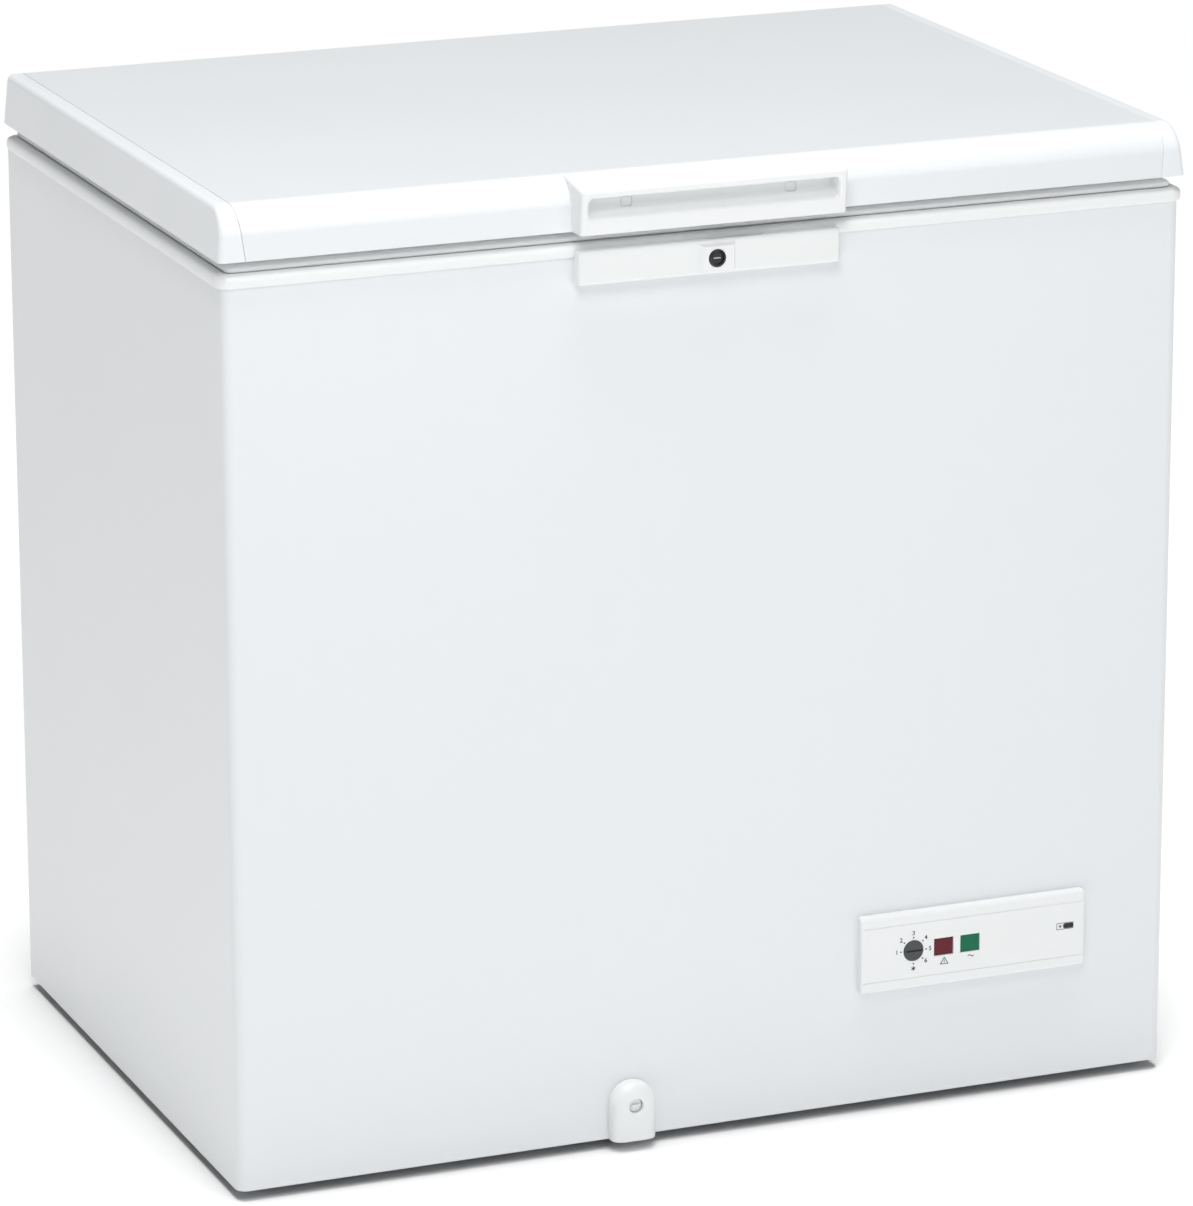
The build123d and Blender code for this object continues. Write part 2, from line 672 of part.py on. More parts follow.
# Lid seal, welded square at its corners: waist under the liner's flange, magnet bulb over the rim's land
with BuildPart() as lid_gasket:
    half_x = LID_HALF - SEAL_INSET
    seal_front = LID_FRONT + SEAL_INSET
    seal_rear = LID_REAR - SEAL_INSET
    seal_bottom = RIM_TOP + SEAL_GAP
    seal_layers = (
        (SEAL_WAIST, seal_bottom + SEAL_BULB, LID_BOTTOM),
        (SEAL_WIDTH, seal_bottom, seal_bottom + SEAL_BULB),
    )
    for width, low, high in seal_layers:
        with BuildSketch(Plane.XY.offset(low)):
            with Locations((0, (seal_front + seal_rear) / 2)):
                Rectangle(2 * half_x + width, seal_rear - seal_front + width)
                Rectangle(2 * half_x - width, seal_rear - seal_front - width, mode=Mode.SUBTRACT)
        extrude(amount=high - low)
write_node(lid_gasket, "lid_gasket")

# Handle: one form, moulded in two, with the finger recess in the grip and the lip below it
NOSE_UNDER = LID_TOP - NOSE_DROP
CAM_SWEEP = CAM_REACH + CAM_CLEARANCE + CAM_NOSE_LEAD / 4
HANDLE_SPLIT = BARREL_Z + CAM_SWEEP + CAM_CLEARANCE / 2
CAM_SIDE = CAM_HALF_WIDTH + CAM_CLEARANCE
NOSE_SIDE = CAM_HALF_WIDTH + CAM_NOSE_LEAD + 2 * CAM_CLEARANCE
POCKET_PROUD = CAM_PROUD + CAM_THICKNESS + CAM_CLEARANCE
COVER_PLACE = (FITTINGS_X, (NOSE_UNDER + LID_BOTTOM + RECESS_FLOOR) / 2)


def handle_block():
    """The whole handle's form against the lid, with its recess."""
    with BuildPart() as block:
        with BuildSketch(Plane.YZ.offset(FITTINGS_X)) as handle_view:
            with BuildLine():
                Polyline(
                    (FRONT + HANDLE_BACK, LID_BOTTOM),
                    (FRONT - HANDLE_LIP_PROUD, LID_BOTTOM),
                    (FRONT - HANDLE_PROUD, NOSE_UNDER),
                    (FRONT - HANDLE_PROUD, NOSE_UNDER + NOSE_THICKNESS),
                    (FRONT + HANDLE_BACK, LID_TOP + HANDLE_CROWN),
                    close=True,
                )
            make_face()
            nose = handle_view.vertices().sort_by(Axis.X)[:2]
            fillet(nose, NOSE_THICKNESS / 2.2)
        extrude(amount=HANDLE_WIDTH / 2, both=True)
        with BuildSketch(Plane.XY.offset(LID_BOTTOM)):
            with Locations((FITTINGS_X, FRONT - HANDLE_PROUD)):
                RectangleRounded(
                    HANDLE_WIDTH,
                    HANDLE_PROUD + HANDLE_BACK,
                    HANDLE_END_R,
                    align=(Align.CENTER, Align.MIN),
                )
        extrude(amount=LID_HEIGHT + HANDLE_CROWN, mode=Mode.INTERSECT)
        add(lid_block(0), mode=Mode.SUBTRACT)
        with BuildSketch(Plane.YZ.offset(FITTINGS_X)) as recess_view:
            with BuildLine():
                Polyline(
                    (FRONT - 2 * HANDLE_PROUD, NOSE_UNDER),
                    (FRONT - RECESS_BACK, NOSE_UNDER),
                    (FRONT - RECESS_BACK, LID_BOTTOM + RECESS_FLOOR),
                    (FRONT - HANDLE_PROUD, LID_BOTTOM + RECESS_FLOOR - RECESS_SLOPE),
                    (FRONT - 2 * HANDLE_PROUD, LID_BOTTOM + RECESS_FLOOR - RECESS_SLOPE),
                    close=True,
                )
            make_face()
            recess_back = recess_view.vertices().sort_by(Axis.X)[-2:]
            fillet(recess_back, (NOSE_UNDER - LID_BOTTOM - RECESS_FLOOR) / 2.4)
        extrude(amount=HANDLE_WIDTH / 2 - HANDLE_END_WALL, both=True, mode=Mode.SUBTRACT)
    return block.part


def below_split():
    """The room below the joint between the handle's two mouldings."""
    with BuildPart() as block:
        with BuildSketch(Plane.XY.offset(LID_BOTTOM)):
            with Locations((FITTINGS_X, FRONT)):
                Rectangle(2 * HANDLE_WIDTH, 4 * HANDLE_PROUD)
        extrude(amount=HANDLE_SPLIT - LID_BOTTOM)
    return block.part


# Grip: sloped top, rounded nose, the recess and its end walls, with two sunk screw places
with BuildPart() as lid_handle:
    add(handle_block())
    add(below_split(), mode=Mode.SUBTRACT)
    with BuildSketch(front_plane(RECESS_BACK - SCREW_COVER_THICKNESS)):
        with Locations(COVER_PLACE):
            with GridLocations(SCREW_COVER_SPREAD, 0, 2, 1):
                Rectangle(SCREW_COVER[0] + 2 * COVER_CLEARANCE, SCREW_COVER[1] + 2 * COVER_CLEARANCE)
    extrude(amount=NOSE_THICKNESS, mode=Mode.SUBTRACT)
write_node(lid_handle, "lid_handle")

# Lip: the front below the recess, notched behind for the lock's cam
with BuildPart() as handle_lip:
    add(handle_block())
    add(below_split(), mode=Mode.INTERSECT)
    with BuildSketch(front_plane(POCKET_PROUD)):
        with Locations((BARREL_X - NOSE_SIDE, LID_BOTTOM)):
            Rectangle(NOSE_SIDE + CAM_SWEEP, HANDLE_SPLIT - LID_BOTTOM, align=Align.MIN)
    extrude(amount=-2 * POCKET_PROUD, mode=Mode.SUBTRACT)
write_node(handle_lip, "handle_lip")

# Covers over the two screws that hold the handle, in the back of the recess
with BuildPart() as handle_screw_covers:
    with BuildSketch(front_plane(RECESS_BACK - SCREW_COVER_THICKNESS)):
        with Locations(COVER_PLACE):
            with GridLocations(SCREW_COVER_SPREAD, 0, 2, 1):
                Rectangle(*SCREW_COVER)
    extrude(amount=SCREW_COVER_THICKNESS)
write_node(handle_screw_covers, "handle_screw_covers")

# Strike block in the end of the lip's notch, under the cam's nose when locked
with BuildPart() as lock_striker:
    with BuildSketch(front_plane(POCKET_PROUD)):
        with Locations((BARREL_X - NOSE_SIDE, LID_BOTTOM)):
            Rectangle(NOSE_SIDE - CAM_SIDE, LOCK_SILL + STRIKER_THICKNESS, align=Align.MIN)
    extrude(amount=-STRIKER_DEPTH)
write_node(lock_striker, "lock_striker")

# Lock plate: hollow moulding below the lid, notched over the rim, slotted for the cam
LOCK_PLATE_Z = SEAM_Z - LOCK_PLATE_DROP
with BuildPart() as lock_plate:
    with BuildSketch(front_plane(0)):
        with Locations((FITTINGS_X, LOCK_PLATE_Z)):
            Rectangle(LOCK_PLATE_WIDTH, LOCK_PLATE_HEIGHT, align=(Align.CENTER, Align.MIN))
    extrude(amount=LOCK_PLATE_PROUD)
    fillet(lock_plate.faces().sort_by(Axis.Y)[0].edges(), LOCK_PLATE_EDGE_R)
    with BuildSketch(front_plane(LOCK_PLATE_PROUD)):
        with Locations((BARREL_X, BARREL_Z)):
            Rectangle(*LOCK_BOSS)
    extrude(amount=LOCK_BOSS_PROUD, taper=LOCK_BOSS_TAPER)
    with BuildSketch(front_plane(0)):
        with Locations((FITTINGS_X, LOCK_PLATE_Z + LOCK_PLATE_WALL)):
            Rectangle(
                LOCK_PLATE_WIDTH - 2 * LOCK_PLATE_WALL,
                LOCK_PLATE_HEIGHT - 2 * LOCK_PLATE_WALL,
                align=(Align.CENTER, Align.MIN),
            )
    extrude(amount=LOCK_PLATE_PROUD - LOCK_PLATE_WALL, mode=Mode.SUBTRACT)
    with BuildSketch(front_plane(0)):
        with Locations((FITTINGS_X, SEAM_Z)):
            Rectangle(2 * LOCK_PLATE_WIDTH, LOCK_PLATE_HEIGHT, align=(Align.CENTER, Align.MIN))
    extrude(amount=RIM_BULGE, mode=Mode.SUBTRACT)
    with BuildSketch(front_plane(CAM_PROUD - CAM_CLEARANCE)):
        with Locations((BARREL_X - CAM_SIDE, BARREL_Z)):
            Rectangle(CAM_SIDE + CAM_SWEEP, LOCK_PLATE_HEIGHT, align=Align.MIN)
    extrude(amount=POCKET_PROUD - CAM_PROUD + CAM_CLEARANCE, mode=Mode.SUBTRACT)
    with BuildSketch(front_plane(0)):
        with Locations((BARREL_X, BARREL_Z)):
            Circle(BARREL_R + BARREL_FIT)
    extrude(amount=LOCK_PLATE_PROUD + LOCK_BOSS_PROUD, mode=Mode.SUBTRACT)
write_node(lock_plate, "lock_plate")

# Lock barrel with its keyway, and the hooked cam on its inner end
with BuildPart() as lock_barrel:
    barrel_face = LOCK_PLATE_PROUD + LOCK_BOSS_PROUD + BARREL_PROUD
    with BuildSketch(front_plane(CAM_PROUD + CAM_THICKNESS)):
        with Locations((BARREL_X, BARREL_Z)):
            Circle(BARREL_R)
    extrude(amount=barrel_face - CAM_PROUD - CAM_THICKNESS)
    with BuildSketch(front_plane(barrel_face)):
        with Locations((BARREL_X, BARREL_Z)):
            Rectangle(*KEYWAY)
    extrude(amount=-KEYWAY_DEPTH, mode=Mode.SUBTRACT)
write_node(lock_barrel, "lock_barrel")

with BuildPart() as lock_cam:
    with BuildSketch(front_plane(CAM_PROUD)):
        with Locations((BARREL_X, BARREL_Z)):
            RegularPolygon(CAM_HUB_R, CAM_HUB_SIDES)
            Rectangle(CAM_REACH, 2 * CAM_HALF_WIDTH, align=(Align.MIN, Align.CENTER))
        with Locations((BARREL_X + CAM_REACH, BARREL_Z)):
            Rectangle(CAM_NOSE, CAM_HALF_WIDTH + CAM_NOSE_LEAD, align=(Align.MAX, Align.MIN))
    extrude(amount=CAM_THICKNESS)
write_node(lock_cam, "lock_cam")

# Control fascia: bevelled rails, two grooves, a round hole and two windows, hollow behind
with BuildPart() as control_fascia:
    with BuildSketch(Plane.YZ.offset(PANEL_X)):
        with BuildLine():
            Polyline(
                (FRONT, PANEL_Z - PANEL_HEIGHT / 2),
                (FRONT - PANEL_EDGE, PANEL_Z - PANEL_HEIGHT / 2),
                (FRONT - PANEL_PROUD, PANEL_Z - PANEL_HEIGHT / 2 + PANEL_BEVEL),
                (FRONT - PANEL_PROUD, PANEL_Z + PANEL_HEIGHT / 2 - PANEL_BEVEL),
                (FRONT - PANEL_EDGE, PANEL_Z + PANEL_HEIGHT / 2),
                (FRONT, PANEL_Z + PANEL_HEIGHT / 2),
                close=True,
            )
        make_face()
    extrude(amount=PANEL_WIDTH / 2, both=True)
    with BuildSketch(front_plane(0)):
        with Locations((PANEL_X, PANEL_Z)):
            Rectangle(
                PANEL_WIDTH - 2 * PANEL_WALL, PANEL_HEIGHT - 2 * PANEL_WALL - 2 * PANEL_BEVEL
            )
    extrude(amount=PANEL_INSIDE, mode=Mode.SUBTRACT)
    with BuildSketch(front_plane(PANEL_PROUD)):
        with Locations((PANEL_X, PANEL_Z)):
            with GridLocations(0, PANEL_HEIGHT - 2 * PANEL_GROOVE_INSET, 1, 2):
                Rectangle(PANEL_WIDTH, PANEL_GROOVE)
    extrude(amount=-PANEL_GROOVE, mode=Mode.SUBTRACT)
    with BuildSketch(front_plane(0)):
        with Locations((PANEL_X + KNOB_DX, PANEL_Z)):
            Circle(KNOB_R + KNOB_CLEARANCE)
        with Locations((PANEL_X + RED_DX, PANEL_Z), (PANEL_X + GREEN_DX, PANEL_Z)):
            Rectangle(LENS[0] + 2 * LENS_CLEARANCE, LENS[1] + 2 * LENS_CLEARANCE)
    extrude(amount=PANEL_PROUD, mode=Mode.SUBTRACT)
write_node(control_fascia, "control_fascia")

# Indicator lenses: each a window insert with a flange behind the fascia
for lens_name, lens_dx in (("red_lens", RED_DX), ("green_lens", GREEN_DX)):
    with BuildPart() as lens:
        with BuildSketch(front_plane(PANEL_INSIDE - LENS_FLANGE)):
            with Locations((PANEL_X + lens_dx, PANEL_Z)):
                Rectangle(LENS[0] + 2 * LENS_FLANGE, LENS[1] + 2 * LENS_FLANGE)
        extrude(amount=LENS_FLANGE)
        with BuildSketch(front_plane(PANEL_INSIDE)):
            with Locations((PANEL_X + lens_dx, PANEL_Z)):
                Rectangle(*LENS)
        extrude(amount=PANEL_WALL - LENS_RECESS)
    write_node(lens, lens_name)

# Lamp block behind both lenses
with BuildPart() as lamp_block:
    with BuildSketch(front_plane(PANEL_INSIDE - LENS_FLANGE)):
        with Locations((PANEL_X + (RED_DX + GREEN_DX) / 2, PANEL_Z)):
            Rectangle(GREEN_DX - RED_DX + LENS[0] + 2 * LENS_FLANGE, LENS[1] + 2 * LENS_FLANGE)
    extrude(amount=-LAMP_BLOCK_DEPTH)
write_node(lamp_block, "lamp_block")

# Thermostat behind the fascia, bored for the knob's shaft
with BuildPart() as thermostat_body:
    with BuildSketch(front_plane(PANEL_INSIDE)):
        with Locations((PANEL_X + KNOB_DX, PANEL_Z)):
            Rectangle(*THERMOSTAT)
    extrude(amount=-THERMOSTAT_DEPTH)
    with BuildSketch(front_plane(PANEL_INSIDE)):
        with Locations((PANEL_X + KNOB_DX, PANEL_Z)):
            Circle(SHAFT_R + SHAFT_FIT)
    extrude(amount=-THERMOSTAT_DEPTH / 2, mode=Mode.SUBTRACT)
write_node(thermostat_body, "thermostat_body")

# Thermostat knob: coin slot that runs out at the pointing side, on a shaft
with BuildPart() as thermostat_knob:
    knob_face = PANEL_PROUD + KNOB_PROUD
    with BuildSketch(front_plane(knob_face)):
        with Locations((PANEL_X + KNOB_DX, PANEL_Z)):
            RegularPolygon(KNOB_R, KNOB_SIDES)
    extrude(amount=-KNOB_DEPTH)
    with BuildSketch(front_plane(knob_face)):
        with Locations((PANEL_X + KNOB_DX - KNOB_R * 0.75, PANEL_Z)):
            Rectangle(2 * KNOB_R, KNOB_SLOT, align=(Align.MIN, Align.CENTER))
    extrude(amount=-KNOB_SLOT_DEPTH, mode=Mode.SUBTRACT)
    with BuildSketch(front_plane(knob_face - KNOB_DEPTH)):
        with Locations((PANEL_X + KNOB_DX, PANEL_Z)):
            Circle(SHAFT_R)
    extrude(amount=-SHAFT_LENGTH)
write_node(thermostat_knob, "thermostat_knob")

# Hinges: a spring box on the back, a pin through its ears, and an arm on the lid
ARM_HALF = HINGE_WIDTH / 2 - HINGE_STEEL - ARM_SIDE_CLEARANCE
for side_name, side in SIDES.items():
    hinge_x = side * HINGE_SPREAD / 2
    box_bottom = SEAM_Z - HINGE_DROP
    with BuildPart() as housing:
        with BuildSketch(Plane.XY.offset(box_bottom)):
            with Locations((hinge_x, BACK)):
                Rectangle(HINGE_WIDTH, HINGE_DEPTH, align=(Align.CENTER, Align.MIN))
                Rectangle(
                    HINGE_WIDTH - 2 * HINGE_STEEL,
                    HINGE_DEPTH - HINGE_STEEL,
                    align=(Align.CENTER, Align.MIN),
                    mode=Mode.SUBTRACT,
                )
                Rectangle(HINGE_WIDTH + 2 * HINGE_EAR, HINGE_STEEL, align=(Align.CENTER, Align.MIN))
        extrude(amount=HINGE_DROP)
        with BuildSketch(Plane.XY.offset(box_bottom)):
            with Locations((hinge_x, BACK)):
                Rectangle(HINGE_WIDTH, HINGE_DEPTH, align=(Align.CENTER, Align.MIN))
        extrude(amount=HINGE_STEEL)
        with BuildSketch(Plane.YZ.offset(hinge_x)):
            with Locations((AXIS_Y, AXIS_Z)):
                RegularPolygon(AXIS_EAR_R, EAR_SIDES)
                Rectangle(2 * AXIS_EAR_R, AXIS_RISE, align=(Align.CENTER, Align.MAX))
        extrude(amount=HINGE_WIDTH / 2, both=True)
        with BuildSketch(Plane.XY.offset(SEAM_Z)):
            with Locations((hinge_x, BACK)):
                Rectangle(HINGE_WIDTH - 2 * HINGE_STEEL, HINGE_DEPTH, align=(Align.CENTER, Align.MIN))
        extrude(amount=2 * AXIS_RISE + AXIS_EAR_R, mode=Mode.SUBTRACT)
        with BuildSketch(Plane.XY.offset(AXIS_Z - WEB_DROP - AXIS_EAR_R)):
            with Locations((hinge_x, BACK + HINGE_STEEL)):
                Rectangle(HINGE_WIDTH - 2 * HINGE_STEEL, HINGE_DEPTH, align=(Align.CENTER, Align.MIN))
        extrude(amount=HINGE_DROP, mode=Mode.SUBTRACT)
        with BuildSketch(Plane.YZ.offset(hinge_x)):
            with Locations((AXIS_Y, AXIS_Z)):
                Circle(PIN_R + PIN_FIT)
        extrude(amount=HINGE_WIDTH, both=True, mode=Mode.SUBTRACT)
    write_node(housing, f"hinge_housing_{side_name}")

    with BuildPart() as pin:
        with BuildSketch(Plane.YZ.offset(hinge_x - HINGE_WIDTH / 2 - PIN_HEAD)):
            with Locations((AXIS_Y, AXIS_Z)):
                Circle(PIN_R)
        extrude(amount=HINGE_WIDTH + 2 * PIN_HEAD)
        for head_x in (hinge_x - HINGE_WIDTH / 2 - PIN_HEAD, hinge_x + HINGE_WIDTH / 2):
            with BuildSketch(Plane.YZ.offset(head_x)):
                with Locations((AXIS_Y, AXIS_Z)):
                    RegularPolygon(PIN_HEAD_R, 8)
            extrude(amount=PIN_HEAD)
    write_node(pin, f"hinge_pin_{side_name}")

    with BuildPart() as arm:
        with BuildSketch(back_plane(LID_OVERHANG)):
            with Locations((hinge_x, LID_BOTTOM + ARM_FOOT)):
                Rectangle(2 * ARM_HALF, ARM_HEIGHT, align=(Align.CENTER, Align.MIN))
        extrude(amount=-ARM_STEEL)
        with BuildSketch(Plane.YZ.offset(hinge_x)):
            with BuildLine():
                Polyline(
                    (AXIS_Y - ARM_EAR_R, AXIS_Z),
                    (LID_REAR, LID_BOTTOM + ARM_FOOT),
                    (LID_REAR, LID_BOTTOM + ARM_FOOT + ARM_HEIGHT * 0.8),
                    (LID_REAR + ARM_STEEL, LID_BOTTOM + ARM_FOOT + ARM_HEIGHT * 0.8),
                    (AXIS_Y + ARM_EAR_R, AXIS_Z),
                    close=True,
                )
            make_face()
            with Locations((AXIS_Y, AXIS_Z)):
                RegularPolygon(ARM_EAR_R, EAR_SIDES)
                Circle(PIN_R + PIN_FIT, mode=Mode.SUBTRACT)
        extrude(amount=ARM_HALF, both=True)
        with BuildSketch(Plane.XY.offset(AXIS_Z - 2 * ARM_EAR_R)):
            with Locations((hinge_x, LID_REAR + ARM_STEEL)):
                Rectangle(2 * (ARM_HALF - ARM_STEEL), HINGE_DEPTH, align=(Align.CENTER, Align.MIN))
        extrude(amount=LID_HEIGHT + AXIS_RISE + LID_GAP, mode=Mode.SUBTRACT)
    write_node(arm, f"hinge_arm_{side_name}")

# Vent grille over the opening in the right side
with BuildPart() as side_grille:
    with BuildSketch(Plane.YZ.offset(HALF_WIDTH)):
        with Locations((BODY_Y + GRILLE_Y, BASE_Z + GRILLE_Z)):
            RectangleRounded(*GRILLE_SIZE, GRILLE_BORDER / 2)
            with GridLocations(0, (GRILLE_SIZE[1] - 2 * GRILLE_BORDER) / GRILLE_SLOTS, 1, GRILLE_SLOTS):
                Rectangle(GRILLE_SIZE[0] - 3 * GRILLE_BORDER, GRILLE_SLOT, mode=Mode.SUBTRACT)
    extrude(amount=GRILLE_THICKNESS)
write_node(side_grille, "side_grille")

# Slotted cover over the opening behind the machine bay, with the hole for the mains gland
GLAND_PLACE = (
    BAY_MIDDLE + REAR_COVER[0] / 2 - GLAND_INSET,
    FLOOR_Z + BAY_HEIGHT / 2 - REAR_COVER[1] / 2 + GLAND_INSET,
)
with BuildPart() as rear_cover:
    with BuildSketch(back_plane(0)):
        with Locations((BAY_MIDDLE, FLOOR_Z + BAY_HEIGHT / 2)):
            Rectangle(*REAR_COVER)
            with Locations((0, REAR_SLOT[1] * 3)):
                with GridLocations(REAR_SLOT[0] * 1.2, REAR_SLOT[1] * 3, 2, REAR_SLOTS):
                    Rectangle(*REAR_SLOT, mode=Mode.SUBTRACT)
        with Locations(GLAND_PLACE):
            RegularPolygon(GLAND_R, 8, mode=Mode.SUBTRACT)
    extrude(amount=-REAR_COVER_STEEL)
write_node(rear_cover, "rear_cover")

# Mains gland: nut and bush in the rear cover
with BuildPart() as cord_gland:
    with BuildSketch(back_plane(-REAR_COVER_STEEL)):
        with Locations(GLAND_PLACE):
            RegularPolygon(GLAND_R, 8)
    extrude(amount=-2 * REAR_COVER_STEEL)
    with BuildSketch(back_plane(REAR_COVER_STEEL)):
        with Locations(GLAND_PLACE):
            RegularPolygon(GLAND_R + DRAIN_TUBE_WALL, 6)
    extrude(amount=-GLAND_PROUD)
    with BuildSketch(back_plane(-REAR_COVER_STEEL)):
        with Locations(GLAND_PLACE):
            RegularPolygon(GLAND_BORE_R, GLAND_SIDES)
    extrude(amount=-2 * REAR_COVER_STEEL - GLAND_PROUD, mode=Mode.SUBTRACT)
write_node(cord_gland, "cord_gland")

# Compressor: oval welded shell on a foot plate, held on four rubber grommets
COMPRESSOR_PLACE = (BAY_MIDDLE, BACK - COMPRESSOR_SETBACK)
FOOT_PLATE_Z = FLOOR_Z + GROMMET_HEIGHT
SHELL_Z = FOOT_PLATE_Z + COMPRESSOR_FOOT_PLATE
with BuildPart() as compressor:
    with BuildSketch(Plane.XY.offset(SHELL_Z)):
        with Locations(COMPRESSOR_PLACE):
            with GridLocations(0, COMPRESSOR_STRETCH, 1, 2):
                RegularPolygon(COMPRESSOR_R, COMPRESSOR_SIDES)
        make_hull()
    extrude(amount=COMPRESSOR_HEIGHT)
    for rise, taper in COMPRESSOR_CROWN:
        extrude(compressor.faces().sort_by(Axis.Z)[-1], amount=rise, taper=taper)
    with BuildSketch(Plane.XY.offset(SHELL_Z + COMPRESSOR_SEAM_HEIGHT)):
        with Locations(COMPRESSOR_PLACE):
            with GridLocations(0, COMPRESSOR_STRETCH, 1, 2):
                RegularPolygon(COMPRESSOR_R + COMPRESSOR_SEAM[0], COMPRESSOR_SIDES)
        make_hull()
    extrude(amount=COMPRESSOR_SEAM[1])
    with BuildSketch(Plane.XY.offset(FOOT_PLATE_Z)):
        with Locations(COMPRESSOR_PLACE):
            Rectangle(*COMPRESSOR_FEET)
    extrude(amount=COMPRESSOR_FOOT_PLATE)
write_node(compressor, "compressor")

with BuildPart() as compressor_grommets:
    with BuildSketch(Plane.XY.offset(FLOOR_Z)):
        with Locations(COMPRESSOR_PLACE):
            with GridLocations(*GROMMET_PITCH, 2, 2):
                RegularPolygon(GROMMET_R, 12)
    extrude(amount=GROMMET_HEIGHT)
write_node(compressor_grommets, "compressor_grommets")

# Relay cover on the compressor's inner side
with BuildPart() as relay_cover:
    relay_x = COMPRESSOR_PLACE[0] - COMPRESSOR_R
    with BuildSketch(Plane.XY.offset(SHELL_Z + RELAY_HEIGHT)):
        with Locations((relay_x, COMPRESSOR_PLACE[1])):
            Rectangle(RELAY_BOX[0], RELAY_BOX[1], align=(Align.MAX, Align.CENTER))
    extrude(amount=RELAY_BOX[2])
    fillet(relay_cover.edges().filter_by(Axis.Z).group_by(Axis.X)[0], RELAY_EDGE_R)
    add(compressor.part, mode=Mode.SUBTRACT)
write_node(relay_cover, "relay_cover")

# Refrigerant pipes of the bay: suction down from its ceiling, discharge across to its wall
SHELL_REACH = COMPRESSOR_R + COMPRESSOR_STRETCH / 2
with BuildPart() as suction_pipe:
    pipe_y = COMPRESSOR_PLACE[1] - SHELL_REACH
    pipe_z = SHELL_Z + SUCTION_HEIGHT
    with BuildLine() as run:
        Polyline(
            (COMPRESSOR_PLACE[0], pipe_y, pipe_z),
            (COMPRESSOR_PLACE[0], pipe_y - PIPE_STUB + PIPE_BEND, pipe_z),
            (COMPRESSOR_PLACE[0], pipe_y - PIPE_STUB, pipe_z + PIPE_BEND),
            (COMPRESSOR_PLACE[0], pipe_y - PIPE_STUB, BAY_TOP - SHEET),
        )
    with BuildSketch(Plane(origin=run.line @ 0, z_dir=run.line % 0)):
        RegularPolygon(PIPE_R, PIPE_SIDES)
    sweep(transition=Transition.RIGHT)
write_node(suction_pipe, "suction_pipe")

with BuildPart() as discharge_pipe:
    pipe_y = COMPRESSOR_PLACE[1] + SHELL_REACH
    pipe_z = SHELL_Z + DISCHARGE_HEIGHT
    with BuildLine() as run:
        Polyline(
            (COMPRESSOR_PLACE[0], pipe_y, pipe_z),
            (COMPRESSOR_PLACE[0], pipe_y + PIPE_STUB - PIPE_BEND, pipe_z),
            (COMPRESSOR_PLACE[0] - PIPE_BEND, pipe_y + PIPE_STUB, pipe_z),
            (BAY_X + SHEET, pipe_y + PIPE_STUB, pipe_z),
        )
    with BuildSketch(Plane(origin=run.line @ 0, z_dir=run.line % 0)):
        RegularPolygon(PIPE_R, PIPE_SIDES)
    sweep(transition=Transition.RIGHT)
write_node(discharge_pipe, "discharge_pipe")

# Filter drier: copper cartridge against the bay wall, necked at each end
with BuildPart() as filter_drier:
    drier_place = (BAY_X + SHEET + DRIER_R, pipe_y + PIPE_STUB + DRIER_OFFSET)
    with BuildSketch(Plane.XY.offset(SHELL_Z)):
        with Locations(drier_place):
            RegularPolygon(DRIER_R, DRIER_SIDES, rotation=180 / DRIER_SIDES)
    extrude(amount=DRIER_LENGTH)
    ends = filter_drier.faces().sort_by(Axis.Z)
    chamfer(ends[0].edges() + ends[-1].edges(), DRIER_NECK)
write_node(filter_drier, "filter_drier")

# Basket: hex-sectioned wires welded into a drafted cage under a heavier frame and two hangers
HANGER_Z = LEDGE_Z + HANGER_GAP + FRAME_WIRE_R
FRAME_Z = HANGER_Z - 2 * FRAME_WIRE_R + WELD
BASKET_X = TANK_WIDTH / 2 - LINER - BASKET_END_GAP - BASKET_WIDTH / 2
BASKET_HALF_Y = TANK_DEPTH / 2 - LINER - RIM_WALL - BASKET_SIDE_GAP
BASKET_BOTTOM = FRAME_Z - BASKET_HEIGHT
HANGER_HALF = TANK_DEPTH / 2 + MOUTH_GROW - HANGER_END_GAP


def bent_wire(points, radius):
    """One wire of the cage along its straight runs."""
    with BuildPart() as wire:
        with BuildLine() as run:
            Polyline(*points)
        with BuildSketch(Plane(origin=run.line @ 0, z_dir=run.line % 0)):
            RegularPolygon(radius, WIRE_SIDES)
        sweep(transition=Transition.RIGHT)
    return wire.part


def ring_wire(half_x, half_y, z, radius):
    """One closed wire round the cage."""
    with BuildPart() as wire:
        with BuildLine() as run:
            Polyline(
                (BASKET_X, TANK_Y - half_y, z),
                (BASKET_X + half_x, TANK_Y - half_y, z),
                (BASKET_X + half_x, TANK_Y + half_y, z),
                (BASKET_X - half_x, TANK_Y + half_y, z),
                (BASKET_X - half_x, TANK_Y - half_y, z),
                (BASKET_X, TANK_Y - half_y, z),
            )
        with BuildSketch(Plane(origin=run.line @ 0, z_dir=run.line % 0)):
            RegularPolygon(radius, WIRE_SIDES)
        sweep(transition=Transition.RIGHT)
    return wire.part


